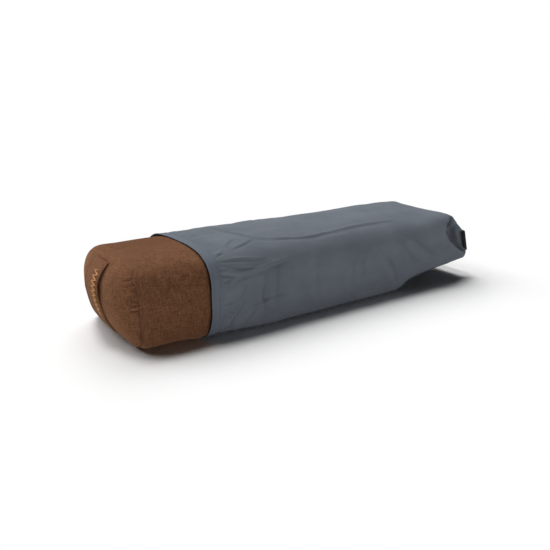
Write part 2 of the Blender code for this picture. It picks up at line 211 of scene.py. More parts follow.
def wovenCloth(name, look):
    # threads that cross, with thick and thin places in both directions
    material, wire = newMaterial(name, {
        "Sheen Weight": look["sheen"],
        "Sheen Roughness": look["napSpread"],
        "Sheen Tint": (*look["nap"], 1.0),
        "Specular IOR Level": look["shine"],
    })
    place, weave = weaving(wire, look["thread"])
    long, thin = 1 / look["slubLength"], 1 / look["slubWidth"]
    slubs = (cloudy(stretched(place, (long, thin, 1)), 1.0, 3.0, 0.6)
             + cloudy(stretched(place, (thin, long, 1)), 1.0, 3.0, 0.6))
    patches = cloudy(place, look["patchScale"], 4.0, 0.6)
    grain = (slubs - 1.0) * 1.7 + (patches + cloudy(place, look["speckScale"]) - 1.0) * 0.6
    shade = (grain * look["mottle"] + weave * look["weaveContrast"] + 0.5).between(0.0, 1.0)
    return fed(material, Base_Color=shade.tint(look["dark"], look["light"]),
               Roughness=(patches - 0.5) * 0.10 + look["roughness"],
               Normal=bumped(weave * 0.5 + slubs * 0.8, look["relief"], 0.8))


def coatedCloth(name, look):
    # close smooth cloth with a dull coating, soft cloudy wear and a fine weave
    material, wire = newMaterial(name, {"Specular IOR Level": look["shine"]})
    place, weave = weaving(wire, look["thread"])
    clouds = cloudy(place, look["cloudScale"], 3.0, 0.55)
    rubbed = cloudy(stretched(place, (*look["rubScale"], 1)), 1.0, 4.0, 0.6) - 0.5
    shade = ((clouds - 0.5 + rubbed * 0.7) * look["mottle"] + 0.5).between(0.0, 1.0)
    relief = weave * look["weaveDepth"] + cloudy(place, look["crumpleScale"]) * look["crumpleDepth"]
    return fed(material, Base_Color=shade.tint(look["dark"], look["light"]),
               Roughness=rubbed * 0.12 + look["roughness"], Normal=bumped(relief, 1.0, 0.9))


def twistedThread(name, colour, shine):
    # fine diagonal plies
    material, wire = newMaterial(name, {"Sheen Weight": 0.2, "Specular IOR Level": shine})
    split = wire.node("ShaderNodeSeparateXYZ", {}, {0: solidSpace(wire)})
    ply = ((split + split.output(2)) * 5200.0).sine() * 0.5 + 0.5
    return fed(material, Base_Color=ply.tint(darker(colour, 0.62), colour),
               Roughness=ply * 0.2 + 0.45, Normal=bumped(ply, 0.0002, 0.6))


def ribbedWebbing(name, colour, rib):
    # heavy cords across the band, one beside the other
    material, wire = newMaterial(name, {"Specular IOR Level": 0.12})
    place, along, around = clothSpace(wire)
    ribs = (along * (2 * math.pi / rib)).sine() * 0.5 + 0.5
    yarns = (around * (2 * math.pi / (rib * 0.8))).sine() * 0.5 + 0.5
    dust = cloudy(place, 260.0, 3.0, 0.6)
    shade = (ribs * 0.5 + yarns * 0.25 + (dust - 0.5) * 0.6).between(0.0, 0.9)
    return fed(material, Base_Color=shade.tint(darker(colour, 0.5), colour),
               Roughness=dust * 0.2 + 0.6, Normal=bumped(ribs + yarns * 0.5, rib * 0.3, 0.8))


def wornMetal(name, colour):
    # drawn brass, duller and darker in patches
    material, wire = newMaterial(name, {"Metallic": 1.0})
    place = solidSpace(wire)
    patches = cloudy(place, 900.0, 4.0, 0.6)
    lines = cloudy(stretched(place, (400.0, 9000.0, 9000.0)), 1.0)
    shade = (patches * 0.8 + lines * 0.3).between(0.2, 0.9)
    return fed(material, Base_Color=shade.tint(darker(colour, 0.55), colour),
               Roughness=patches * 0.25 + lines * 0.12 + 0.2, Normal=bumped(lines, 0.00004, 0.5))


def mouldedPlastic(name, colour):
    material, wire = newMaterial(name, {"Specular IOR Level": 0.5})
    patches = cloudy(solidSpace(wire), 700.0, 3.0)
    return fed(material, Base_Color=patches.tint(darker(colour, 0.75), colour),
               Roughness=patches * 0.2 + 0.35, Normal=bumped(patches, 0.00005, 0.4))


def fluffyFill(name, look):
    # matted fibres, or the small cells of foam
    material, wire = newMaterial(name, {"Sheen Weight": 0.3, "Specular IOR Level": 0.2})
    place = solidSpace(wire)
    clumps = cloudy(place, look["clumpScale"], 5.0, 0.65)
    cells = wire.node("ShaderNodeTexVoronoi", {}, {"Vector": place, "Scale": look["cellScale"]})
    shade = (clumps * 0.7 + cells * 0.5).between(0.2, 1.0)
    return fed(material, Base_Color=shade.tint(look["dark"], look["light"]),
               Roughness=clumps * 0.1 + 0.85, Normal=bumped(clumps + cells, look["relief"], 0.8))


canvasCloth = {
    "dark": (0.086, 0.034, 0.0160), "light": (0.220, 0.102, 0.054), "nap": (0.58, 0.32, 0.18),
    "sheen": 0.75, "napSpread": 0.45, "shine": 0.04, "roughness": 0.95, "thread": 0.0008,
    "slubLength": 0.014, "slubWidth": 0.0017, "patchScale": 60.0, "speckScale": 260.0,
    "mottle": 0.80, "weaveContrast": 0.10, "relief": 0.0003,
}
linerCotton = dict(canvasCloth, dark=(0.52, 0.47, 0.39), light=(0.78, 0.74, 0.66), nap=(0.8, 0.8, 0.8),
                   thread=0.0004, mottle=0.6)
tapeCloth = dict(canvasCloth, dark=(0.050, 0.022, 0.013), light=(0.115, 0.055, 0.034),
                 thread=0.0005, mottle=0.5)
slateCloth = {
    "dark": (0.114, 0.130, 0.153), "light": (0.160, 0.178, 0.205), "roughness": 0.78, "shine": 0.08,
    "cloudScale": 14.0, "rubScale": (9.0, 34.0), "mottle": 0.9, "thread": 0.0003, "weaveDepth": 0.00002,
    "crumpleScale": 75.0, "crumpleDepth": 0.0006,
}
hemOfSlate = dict(slateCloth, mottle=0.5, dark=(0.114, 0.132, 0.160), light=(0.160, 0.181, 0.215))
battingFibre = {
    "dark": (0.62, 0.61, 0.57), "light": (0.88, 0.87, 0.84), "clumpScale": 70.0, "cellScale": 420.0,
    "relief": 0.002,
}
coreFoam = {
    "dark": (0.55, 0.47, 0.25), "light": (0.83, 0.76, 0.50), "clumpScale": 40.0, "cellScale": 700.0,
    "relief": 0.0008,
}

materials = {
    "canvas": wovenCloth("brown canvas", canvasCloth),
    "cotton": wovenCloth("liner cotton", linerCotton),
    "tape": wovenCloth("zip tape", tapeCloth),
    "bagCloth": coatedCloth("slate bag cloth", slateCloth),
    "hemCloth": coatedCloth("slate hem cloth", hemOfSlate),
    "webbing": ribbedWebbing("black webbing", (0.009, 0.009, 0.010), 0.0014),
    "brownThread": twistedThread("brown thread", (0.060, 0.028, 0.016), 0.3),
    "greyThread": twistedThread("slate thread", (0.085, 0.100, 0.120), 0.3),
    "goldThread": twistedThread("golden thread", (0.66, 0.29, 0.055), 0.45),
    "brass": wornMetal("zip brass", (0.62, 0.47, 0.26)),
    "coil": mouldedPlastic("zip coil", (0.085, 0.042, 0.027)),
    "batting": fluffyFill("batting fibre", battingFibre),
    "foam": fluffyFill("core foam", coreFoam),
}


def makeStudio():
    bpy.context.scene.view_settings.view_transform = "Standard"
    sky = bpy.data.worlds.new("studio")
    bpy.context.scene.world = sky
    sky.use_nodes = True
    tree = sky.node_tree
    wire = Wire(tree)
    rays = wire.node("ShaderNodeLightPath")
    seen = [rays.output(name) for name in ("Is Camera Ray", "Is Glossy Ray", "Is Transmission Ray")]
    plain = wire.maths("MAXIMUM", wire.maths("MAXIMUM", seen[0], seen[1]), seen[2])
    backdrop = tree.nodes["Background"]
    backdrop.inputs["Color"].default_value = (1, 1, 1, 1)
    strength = plain * (1 - studio["sky"]) + studio["sky"]
    tree.links.new(strength.socket, backdrop.inputs["Strength"])

    bpy.ops.mesh.primitive_plane_add(size=studio["floorSize"], location=(0, 0, 0))
    floor = bpy.context.object
    floor.name = "floor"
    material, wire = newMaterial("studio floor", {"Roughness": 1.0, "Specular IOR Level": 0.0})
    view = wire.node("ShaderNodeLightPath")
    fed(material, Base_Color=view.tint(studio["floorLight"], studio["floorSeen"]))
    floor.data.materials.append(material)

    for name, (strength, turn, softness) in studio["lamps"].items():
        addSun(name, strength, turn, softness)


makeCamera()
makeStudio()
print("studio made")

# Curves and grids of points

def growing(values, start, over):
    # 0 up to start, then smoothly up to 1 over the given distance
    share = np.clip((values - start) / over, 0, 1)
    return share * share * (3 - 2 * share)


def fading(values, start, over):
    return 1 - growing(values, start, over)


def lessened(values, share, start, over):
    # 1 up to start, then smoothly less by this share
    return 1 - share * growing(values, start, over)


def hump(distance, width):
    # 1 where the distance is 0, and almost 0 beyond two widths
    return np.exp(-(distance / width) ** 2)


def sectionPoints(shape, halfWidth, halfHeight, count):
    # a closed section as shares of its half sizes, from the middle of its base round by the back;
    # points lie closer on the front, which shows its creases from near by
    turn = np.linspace(-0.5 * math.pi, 1.5 * math.pi, 2401)
    across, up = np.cos(turn), np.sin(turn)
    top = np.where(across < 0, shape.get("frontTop", shape["topFullness"]), shape["topFullness"])
    power = np.where(up > 0, top, shape["baseFullness"])
    reach = (np.abs(across) ** power + np.abs(up) ** power) ** (-1 / power)
    across, up = reach * across, reach * up
    up = np.where(up < 0, np.maximum(-1.0, up * shape["baseFlat"]), up)
    closeness = 1 + 1.3 * fading(across[1:], -0.85, 0.4)
    steps = np.hypot(np.diff(across) * halfWidth, np.diff(up) * halfHeight)
    run = np.concatenate([[0], np.cumsum(steps * closeness)])
    even = np.linspace(0, run[-1], count, endpoint=False)
    return np.stack([np.interp(even, run, across), np.interp(even, run, up)], 1)


def runLength(points):
    # the distance along a line at each of its points
    steps = np.linalg.norm(np.diff(points, axis=0), axis=-1)
    return np.concatenate([np.zeros_like(steps[:1]), np.cumsum(steps, axis=0)])


def evenPoints(line, steps):
    # the same line in even steps
    run = runLength(line)
    return np.stack([np.interp(np.linspace(0, run[-1], steps + 1), run, column) for column in line.T], 1)


def curveThrough(points, steps):
    # a smooth line through a few points
    ends = np.concatenate([[2 * points[0] - points[1]], points, [2 * points[-1] - points[-2]]])
    made = []
    for a, b, c, d in zip(ends, ends[1:], ends[2:], ends[3:]):
        for t in np.linspace(0, 1, steps, endpoint=False):
            made.append(0.5 * (2 * b + (c - a) * t + (2 * a - 5 * b + 4 * c - d) * t ** 2
                               + (3 * b - a - 3 * c + d) * t ** 3))
    return np.array(made + [points[-1]])


def softened(values, reach):
    # a running average along the first axis that keeps the ends
    padded = np.concatenate([np.repeat(values[:1], reach, 0), values, np.repeat(values[-1:], reach, 0)])
    weights = np.hanning(2 * reach + 3)[1:-1]
    return np.stack([np.convolve(column, weights / weights.sum(), "valid") for column in padded.T], 1)


def unitVectors(vectors):
    return vectors / np.maximum(np.linalg.norm(vectors, axis=-1, keepdims=True), 1e-12)


def gridNormals(grid):
    # outward directions on a grid of closed rings that run along +X, each going up the far side
    around = np.roll(grid, -1, 1) - np.roll(grid, 1, 1)
    return unitVectors(np.cross(around, np.gradient(grid, axis=0)))


def movedOut(grid, height):
    return grid + gridNormals(grid) * height[:, :, None]


def unevenness(grid, depth, scale, seed, octaves=2):
    # soft rises and hollows of about this depth
    shift = Vector((seed * 3.1, seed * 7.7, seed * 1.3))
    points = grid.reshape(-1, 3) * scale
    values = [noise.fractal(Vector(p) + shift, 1.0, 2.0, octaves) for p in points.tolist()]
    return depth * np.array(values).reshape(grid.shape[:2])


def withLoop(grid):
    # the first point of each ring once more at its end
    return np.concatenate([grid, grid[:, :1]], 1)


def ringFlat(grid):
    # the place of each point on the flat cloth: its distance along, and round its ring
    steps = np.linalg.norm(np.diff(withLoop(grid), axis=1), axis=2)
    around = np.concatenate([np.zeros((len(grid), 1)), np.cumsum(steps, 1)], 1)
    return np.stack([withLoop(runLength(grid)), around], 2)


def endFlat(grid):
    # an end panel's place on the flat cloth is where it stands across the end
    return withLoop(grid)[:, :, 1:]


def dropFrom(grid, side, top, edge):
    # distance down a long side from its top edge, and negative across the top; side -1 is the front
    return (top - grid[:, :, 2]) - (edge - side * grid[:, :, 1])


def besideSegment(x, y, start, end):
    # how far along a segment each point lies, 0 to 1, and its distance from it on the left or right
    step = np.subtract(end, start)
    dx, dy = x - start[0], y - start[1]
    share = np.clip((dx * step[0] + dy * step[1]) / max(float(step @ step), 1e-18), 0, 1)
    gap = np.hypot(dx - share * step[0], dy - share * step[1])
    return share, np.sign(step[0] * dy - step[1] * dx) * gap


def creaseHeight(x, drop, creases):
    # each crease: points along it, its rise, its width, and the depth beside it
    height = np.zeros_like(x)
    for points, rise, width, beside in creases:
        line = curveThrough(np.array(points), 8)
        lengths = runLength(line)
        signed = np.full(x.shape, 1e9)
        run = np.zeros_like(x)
        for start, end, first, last in zip(line, line[1:], lengths, lengths[1:]):
            share, gap = besideSegment(x, drop, start, end)
            closer = np.abs(gap) < np.abs(signed)
            signed = np.where(closer, gap, signed)
            run = np.where(closer, first + share * (last - first), run)
        taper = np.sin(run / lengths[-1] * math.pi * 0.92 + 0.08) ** 0.7
        fold = rise * hump(signed, width) - beside * hump(signed - 1.7 * width, 1.2 * width)
        height = height + fold * taper
    return height


def puckers(around, total, spacing, seed):
    # narrow creases at uneven places along a seam, as deep as 1
    pick = random.Random(seed)
    depth = np.zeros_like(around)
    place = 0.0
    while place < total:
        strength = pick.uniform(0.35, 1.0)
        width = pick.uniform(0.0010, 0.0018)
        gap = np.minimum(np.abs(around - place), total - np.abs(around - place))
        depth = np.maximum(depth, strength * hump(gap, width))
        place += spacing * pick.uniform(0.55, 1.5)
    return depth


# Meshes

def selectOnly(*pieces):
    bpy.ops.object.select_all(action="DESELECT")
    for piece in pieces:
        piece.select_set(True)
    bpy.context.view_layer.objects.active = pieces[0]


def addMesh(name, points, faces, material):
    mesh = bpy.data.meshes.new(name)
    mesh.from_pydata(points.tolist(), [], faces)
    mesh.update()
    mesh.shade_smooth()
    mesh.materials.append(material)
    return addObject(name, mesh)


def tubePiece(name, grid, material, flat=None, closedStart=False, closedEnd=False, opening=None):
    # a skin through closed rings; flat gives each point's place on the flat cloth, with one more column;
    # opening is the first and last row and column of a hole
    rows, count = grid.shape[:2]
    i, j = np.meshgrid(np.arange(rows - 1), np.arange(count), indexing="ij")
    after = (j + 1) % count
    corners = np.stack([i * count + j, i * count + after, (i + 1) * count + after, (i + 1) * count + j], -1)
    kept = np.ones(i.shape, bool)
    if opening:
        kept[opening[0]:opening[1], opening[2]:opening[3]] = False
    ends = [(np.arange(count) + row * count)[::order]
            for closed, row, order in ((closedStart, 0, -1), (closedEnd, rows - 1, 1)) if closed]
    faces = corners[kept].tolist() + [end.tolist() for end in ends]
    piece = addMesh(name, grid.reshape(-1, 3), faces, material)
    if opening:
        dropLoosePoints(piece.data)
    if flat is not None:
        quads = np.stack([flat[i, j], flat[i, j + 1], flat[i + 1, j + 1], flat[i + 1, j]], 2)
        places = [quads[kept].reshape(-1, 2)] + [flat[:, :-1].reshape(-1, 2)[end] for end in ends]
        layer = piece.data.uv_layers.new(name="cloth")
        layer.data.foreach_set("uv", np.concatenate(places).astype(np.float32).ravel())
    piece.data.update()
    return piece


def dropLoosePoints(mesh):
    shape = bmesh.new()
    shape.from_mesh(mesh)
    bmesh.ops.delete(shape, geom=[v for v in shape.verts if not v.link_faces], context="VERTS")
    shape.to_mesh(mesh)
    shape.free()


def applyAll(piece):
    selectOnly(piece)
    for modifier in list(piece.modifiers):
        bpy.ops.object.modifier_apply(modifier=modifier.name)


def outwardFaces(piece):
    selectOnly(piece)
    bpy.ops.object.mode_set(mode="EDIT")
    bpy.ops.mesh.select_all(action="SELECT")
    bpy.ops.mesh.remove_doubles(threshold=0.000001)
    bpy.ops.mesh.normals_make_consistent(inside=False)
    bpy.ops.object.mode_set(mode="OBJECT")


def giveWall(piece, thickness):
    # the cloth's thickness, laid on the inner side
    wall = piece.modifiers.new("wall", "SOLIDIFY")
    wall.thickness = thickness
    wall.offset = -1.0
    applyAll(piece)


def standsFor(piece, node, body="bolster"):
    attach(piece, body)
    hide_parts(node)


def stretchedBall(rings, radius, stretch):
    # the points and faces of a small ball that is stretched along its axes; the faces are sorted,
    # because a new ball lists them in another order each time
    bpy.ops.mesh.primitive_uv_sphere_add(segments=8, ring_count=rings, radius=radius)
    ball = bpy.context.object
    bpy.ops.object.mode_set(mode="EDIT")
    bpy.ops.mesh.select_all(action="SELECT")
    bpy.ops.transform.resize(value=stretch)
    bpy.ops.object.mode_set(mode="OBJECT")
    points = np.array([v.co for v in ball.data.vertices])
    faces = sorted(list(f.vertices) for f in ball.data.polygons)
    bpy.data.objects.remove(ball)
    return points, faces


def repeatedPiece(name, copies, faces, material):
    # one mesh from copies of a small shape, each already in its place
    size = len(copies[0])
    quads = [[corner + number * size for corner in face] for number in range(len(copies)) for face in faces]
    return addMesh(name, np.concatenate(copies), quads, material)


def stitchPiece(name, line, normals, look, thread="brownThread", body="bolster"):
    # stitches laid end to end along a line, each sunk a little into the cloth
    length, radius = look["length"], look["thread"]
    shape, faces = stretchedBall(6, radius, (1, 1, length / 2 / radius))
    run = runLength(line)
    copies = []
    place = look["gap"]
    while place + length < run[-1]:
        start, end = np.stack([np.interp([place, place + length], run, line[:, k]) for k in range(3)], 1)
        up = Vector(normals[min(len(line) - 1, int(np.searchsorted(run, place + length / 2)))])
        way = Vector(end - start).normalized()
        side = way.cross(up).normalized()
        turned = shape @ np.array([list(side), list(side.cross(way)), list(way)])
        copies.append(turned + (start + end) / 2 + np.array(up) * radius * look["proud"])
        place += length + look["gap"]
    piece = repeatedPiece(name, copies, faces, materials[thread])
    if body:
        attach(piece, body)
    return piece


def bandPiece(name, path, outward, width, thickness, material, dips=(), camber=0.0):
    # a flat woven band with rounded edges; path is the middle of its outer face, and it is wide along width
    edge = Vector(width).normalized()
    half = Vector(width).length / 2
    across = np.concatenate([[-1, -0.985], np.linspace(-0.96, 0.96, 27), [0.985, 1]]) * half
    rim = np.clip((half - np.abs(across)) / (thickness * 0.5), 0, 1)
    rounded = thickness / 2 * np.sqrt(np.maximum(0, 1 - (1 - rim) ** 2))
    face = rounded - sum(depth * hump(np.abs(across) - place, reach) for place, depth, reach in dips)
    middle = -camber * (across / half) ** 2 - thickness / 2
    ring = [*zip(across, face + middle), *zip(across[-2:0:-1], (middle - rounded)[-2:0:-1])]
    grid = np.array([[Vector(point) + edge * a + Vector(normal) * f for a, f in ring]
                     for point, normal in zip(path, outward)])
    piece = tubePiece(name, grid, material, ringFlat(grid), closedStart=True, closedEnd=True)
    outwardFaces(piece)
    return piece


# The cover

coverShape = {
    "topFullness": 3.44,
    "baseFullness": 6.5,
    "baseFlat": 1.01,
    "rounding": 0.033,      # length over which an end draws in
    "roundPower": 2.6,
    "crown": 0.013,         # how far the middle of an end swells out
    "proud": 0.0035,        # swell of the canvas past its solid
    "lowerFall": 0.010,     # how much flatter the lower half of an end is
}

coverLook = {
    "pointsRound": 320,
    "wall": 0.0012,
    "lowest": 0.0012,
    "seamRing": 0.945,      # share of the full section where the end panel is sewn in
    "seamDepth": 0.0024,
    "seamWidth": 0.0016,
    "seamStep": (0.0007, 0.0008, 0.011),    # the end panel stands over the side: height, edge, reach
    "swell": (0.0004, 0.006, 0.005),        # roundness beside the seam: height, place, width
    "puckers": (0.0011, 0.0082, 0.25),      # depth, spacing and lean
    "puckerReach": (0.0025, 0.0065, 0.03),  # place of the deepest, length, and none past here
    "sidePuckers": 0.42,    # their share of depth on the long side
    "stitching": (0.0005, 0.0042, 0.0009),  # depth, place beside the seam, width
    "topFade": (0.93, 0.100, 0.036),        # the seam lies smoother on top: share, height, over this one
    # strong puckers on the end panel by the front corner: height, depth, half length
    "frontPuckers": ((0.0876, 0.0028, 0.0060), (0.0795, 0.0032, 0.0070), (0.0725, 0.0014, 0.0045),
                     (0.1120, 0.0018, 0.0050), (0.1190, 0.0024, 0.0060), (0.1260, 0.0020, 0.0060),
                     (0.0610, 0.0014, 0.0045), (0.0470, 0.0012, 0.0045)),
    "frontPucker": {"width": 0.0015, "lean": 0.30, "lip": (0.45, 0.0032, 0.0020), "before": -0.07},
    "uneven": (0.0011, 13.0, 2),            # depth, scale and seed
    "pressedIn": (0.0030, -0.005, 0.012),   # the bag holds the canvas in: depth, from its mouth, over
    # the lower corners spread near the bag's mouth: how far, then where from and over which distance
    "cornerFill": 0.0040, "cornerAcross": (0.085, 0.025), "cornerUp": (0.010, 0.024),
    "cornerAlong": (-0.060, 0.050),
    # the opening that the zip is sewn into, on the back
    "slotStart": -0.2503, "slotEnd": 0.1963, "slotLow": 0.0710, "slotHigh": 0.0790,
    "slotRoll": (0.0007, 0.0016),   # the turned edge of the canvas: height and width
    "slotCalm": 0.012,      # other relief fades out this far from it
    "slotStitches": 0.0034,
    "tuck": 0.0040,         # cloth turned in at the seam
    "stitch": {"length": 0.0027, "gap": 0.0012, "thread": 0.00026, "proud": 0.1},
    "creases": (
        ([(-0.292, 0.052), (-0.279, 0.060), (-0.268, 0.062)], 0.0006, 0.0022, 0.0006),
        ([(-0.288, 0.020), (-0.282, 0.030), (-0.286, 0.042)], 0.0006, 0.0024, 0.0006),
    ),
}

# the swelling of the filled cover, worked out on every third row and fourth column
swelling = {
    "rows": 3, "columns": 4, "frames": 20, "share": 0.8, "most": 0.0035,
    "slotCalm": 0.02,
    "resting": (0.9, 0.015, 0.025),     # near the floor it hardly sinks in: share, height, over this height
    "coveredFrom": 0.02,    # past the bag's hem it is held
    "cloth": {
        "quality": 6, "mass": 0.25, "tension_stiffness": 18, "compression_stiffness": 18,
        "shear_stiffness": 6, "bending_stiffness": 0.6, "use_pressure": True,
        "uniform_pressure_force": 4.0, "vertex_group_mass": "sewn",
    },
}


def padForm(nodes, shape, smaller=0.0):
    # the space that a cushion fills, from the boxes of the solids that it stands for
    lows, highs = zip(*(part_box(node) for node in nodes))
    low, high = np.min(lows, 0), np.max(highs, 0)
    half = (high - low) / 2 - smaller
    return {"middle": (low + high) / 2, "halfLength": half[0] - shape["crown"],
            "halfWidth": half[1], "halfHeight": half[2]}


def padRings(spans):
    # ring sizes of an end, from its middle, at 0, to the full section, at 1: for each span, how many
    # and where it starts and stops, evenly spaced along the surface
    turn = np.linspace(0, math.pi / 2, 3001)
    ring = np.sin(turn) ** (2 / coverShape["roundPower"])
    depth = 1 - np.cos(turn) ** (2 / coverShape["roundPower"])
    run = runLength(np.stack([ring * 0.1, depth * coverShape["rounding"]], 1))
    made = []
    for count, start, stop in spans:
        first, last = np.interp([start, stop], ring, run)
        made.append(np.interp(np.linspace(first, last, count), run, ring)[:-1])
    return np.concatenate([*made, [1.0]])


def stationsFrom(rings, sides):
    # the end that each ring belongs to, -1 to 1, and its share of the full section
    sizes = np.concatenate([rings, np.ones(len(sides)), rings[::-1]])
    return np.stack([np.concatenate([-np.ones(len(rings)), sides, np.ones(len(rings))]), sizes])


def padGrid(form, shape, stations, count):
    unit = sectionPoints(shape, form["halfWidth"], form["halfHeight"], count)
    side, ring = stations[:, :, None]
    across, up = unit[:, 0] * ring, unit[:, 1] * ring
    used = 1 - np.maximum(0, 1 - ring ** shape["roundPower"]) ** (1 / shape["roundPower"])
    swell = shape["crown"] + shape["proud"] + shape["lowerFall"] * np.minimum(up, 0)
    fall = np.where(up > 0, up ** 4, up ** 2)
    crown = swell * (1 - across ** 4) * (1 - fall) * (1 - used) ** 0.6
    x = side * (form["halfLength"] - shape["rounding"] * used + crown)
    points = np.stack([x, across * form["halfWidth"], up * form["halfHeight"]], 2)
    return points + form["middle"]


coverForm = padForm(["cover_near_end_panel", "cover_wrap", "cover_far_end_panel"], coverShape)


def coverStations():
    seam = coverLook["seamRing"]
    rings = padRings([(24, 0.01, 0.70), (26, 0.70, seam), (14, seam, 0.97), (8, 0.97, 1.0)])
    straight = coverForm["halfLength"] - coverShape["rounding"]
    slotEnds = [coverLook[name] / straight for name in ("slotStart", "slotEnd")]
    sides = np.sort([*np.linspace(-1, -0.50, 44)[1:], *np.linspace(-0.50, 1, 46)[1:-1], *slotEnds])
    stations = stationsFrom(rings, sides)
    nearSeam = int(np.argmin(np.abs(rings - seam)))
    return stations, nearSeam, stations.shape[1] - 1 - nearSeam


def seamRelief(distance, around, seed):
    # distance is negative on the end panel and positive on the long side
    look = coverLook
    beside = np.abs(distance)
    step, edge, reach = look["seamStep"]
    height = -look["seamDepth"] * hump(distance, look["seamWidth"])
    height = height - step * np.tanh(distance / edge) * hump(distance, reach)
    swell, place, width = look["swell"]
    height = height + swell * hump(beside - place, width)
    depth, place, width = look["stitching"]
    height = height - depth * hump(distance - place, width)
    depth, spacing, lean = look["puckers"]
    deepest, length, last = look["puckerReach"]
    fade = hump(beside - deepest, length) * (beside < last)
    fade = fade * np.where(distance < 0, 1.0, look["sidePuckers"])
    return height - depth * fade * puckers(around + distance * lean, around.max(), spacing, seed)


def coverRelief(grid, nearSeam, farSeam):
    look = coverLook
    x, y, z = np.moveaxis(grid, 2, 0)
    along = runLength(grid)
    flat = ringFlat(grid)
    around = flat[:, :-1, 1] / flat[:, -1:, 1] * flat[nearSeam, -1, 1]
    fromSeam = along - along[nearSeam]
    height = seamRelief(fromSeam, around, 3) + seamRelief(along[farSeam] - along, around, 5)
    height = height * lessened(z, *look["topFade"])

    single = look["frontPucker"]
    lip, lipPlace, lipWidth = single["lip"]
    for place, depth, reach in look["frontPuckers"]:
        leaned = z - place - single["lean"] * fromSeam
        shape = hump(leaned, single["width"]) - lip * hump(leaned - lipPlace, lipWidth)
        height = height - depth * shape * hump(fromSeam + reach, reach) * (y < single["before"])

    height = height + unevenness(grid, *look["uneven"])
    top = coverForm["middle"][2] + coverForm["halfHeight"]
    drop = dropFrom(grid, -1, top, coverForm["halfWidth"] - coverForm["middle"][1])
    height = height + creaseHeight(x, drop, look["creases"])
    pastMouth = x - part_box("bag_mouth_hem")[0].x
    depth, start, over = look["pressedIn"]
    height = height - depth * growing(pastMouth, start, over)
    corner = growing(np.abs(y), *look["cornerAcross"]) * fading(z, *look["cornerUp"])
    height = height + look["cornerFill"] * growing(pastMouth, *look["cornerAlong"]) * corner
    roll, width = look["slotRoll"]
    return height * (1 - nearSlot(grid, look["slotCalm"])) + roll * nearSlot(grid, width)


def nearSlot(grid, reach):
    # 1 at the zip's opening and 0 further away than reach
    look = coverLook
    x, y, z = np.moveaxis(grid, 2, 0)
    beside = np.maximum(0, np.maximum(look["slotStart"] - x, x - look["slotEnd"]))
    above = np.maximum(0, np.maximum(look["slotLow"] - z, z - look["slotHigh"]))
    return fading(np.hypot(beside, above), 0, reach) * (y > 0)


def makeCover():
    stations, nearSeam, farSeam = coverStations()
    grid = padGrid(coverForm, coverShape, stations, coverLook["pointsRound"])
    slot = alignSlot(grid)
    out = swollen(grid, (nearSeam, farSeam)) * (1 - nearSlot(grid, swelling["slotCalm"]))
    share, start, over = swelling["resting"]
    out = np.where(out < 0, out * (1 - share * fading(grid[:, :, 2], start, over)), out)
    grid = movedOut(grid, coverRelief(grid, nearSeam, farSeam) + out)
    grid[:, :, 2] = np.maximum(grid[:, :, 2], coverLook["lowest"])
    normals = gridNormals(grid)
    nearTuck, farTuck = ((grid[row] - normals[row] * coverLook["tuck"])[None]
                         for row in (nearSeam, farSeam))

    long = np.concatenate([nearTuck, grid[nearSeam:farSeam + 1], farTuck])
    near = np.concatenate([grid[:nearSeam + 1], nearTuck])
    far = np.concatenate([farTuck, grid[farSeam:]])
    opening = (slot[0] - nearSeam + 1, slot[1] - nearSeam + 1, slot[2], slot[3])
    canvas = materials["canvas"]
    pieces = {
        "cover_wrap": tubePiece("canvas_long_sides", long, canvas, ringFlat(long), opening=opening),
        "cover_near_end_panel": tubePiece("canvas_near_end", near, canvas, endFlat(near), closedStart=True),
        "cover_far_end_panel": tubePiece("canvas_far_end", far, canvas, endFlat(far), closedEnd=True),
    }
    for node, piece in pieces.items():
        giveWall(piece, coverLook["wall"])
        standsFor(piece, node)
    coverStitches(grid, normals, nearSeam, farSeam, slot)
    print("cover made")


def swollen(grid, seams):
    # how far pressure from inside moves each point out, from a cloth simulation on a coarser grid
    rows = sorted({0, len(grid) - 1, *seams, *range(0, len(grid), swelling["rows"])})
    coarse = grid[rows][:, ::swelling["columns"]]
    trial = tubePiece("swelling_trial", coarse, materials["canvas"], closedStart=True, closedEnd=True)
    pinned = trial.vertex_groups.new(name="sewn")
    count = coarse.shape[1]
    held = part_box("bag_mouth_hem")[1].x + swelling["coveredFrom"]
    for row, place in enumerate(rows):
        if place in seams or coarse[row, :, 0].mean() > held:
            pinned.add(list(range(row * count, (row + 1) * count)), 1.0, "REPLACE")
    cloth = trial.modifiers.new("filled", "CLOTH")
    for name, value in swelling["cloth"].items():
        setattr(cloth.settings, name, value)
    cloth.settings.effector_weights.gravity = 0
    cloth.collision_settings.use_collision = False
    cloth.point_cache.frame_end = swelling["frames"]
    for frameNumber in range(1, swelling["frames"] + 1):
        bpy.context.scene.frame_set(frameNumber)
    shown = trial.evaluated_get(bpy.context.evaluated_depsgraph_get())
    moved = np.array([v.co for v in shown.data.vertices]).reshape(coarse.shape)
    bpy.data.objects.remove(trial)
    bpy.context.scene.frame_set(1)
    out = ((moved - coarse) * gridNormals(coarse)).sum(2) * swelling["share"]
    print("swelling:", round(float(out.min()), 4), "to", round(float(out.max()), 4))
    out = np.clip(out, -swelling["most"], swelling["most"])
    around = np.arange(grid.shape[1]) / swelling["columns"]
    wide = np.stack([np.interp(around, np.arange(count + 1), np.append(row, row[0])) for row in out])
    return np.stack([np.interp(np.arange(len(grid)), rows, column) for column in wide.T], 1)


def backColumn(ring, height):
    # the point of a ring that lies nearest to a height on the back
    return int(np.argmin(np.where(ring[:, 1] > 0.1, np.abs(ring[:, 2] - height), 9.0)))


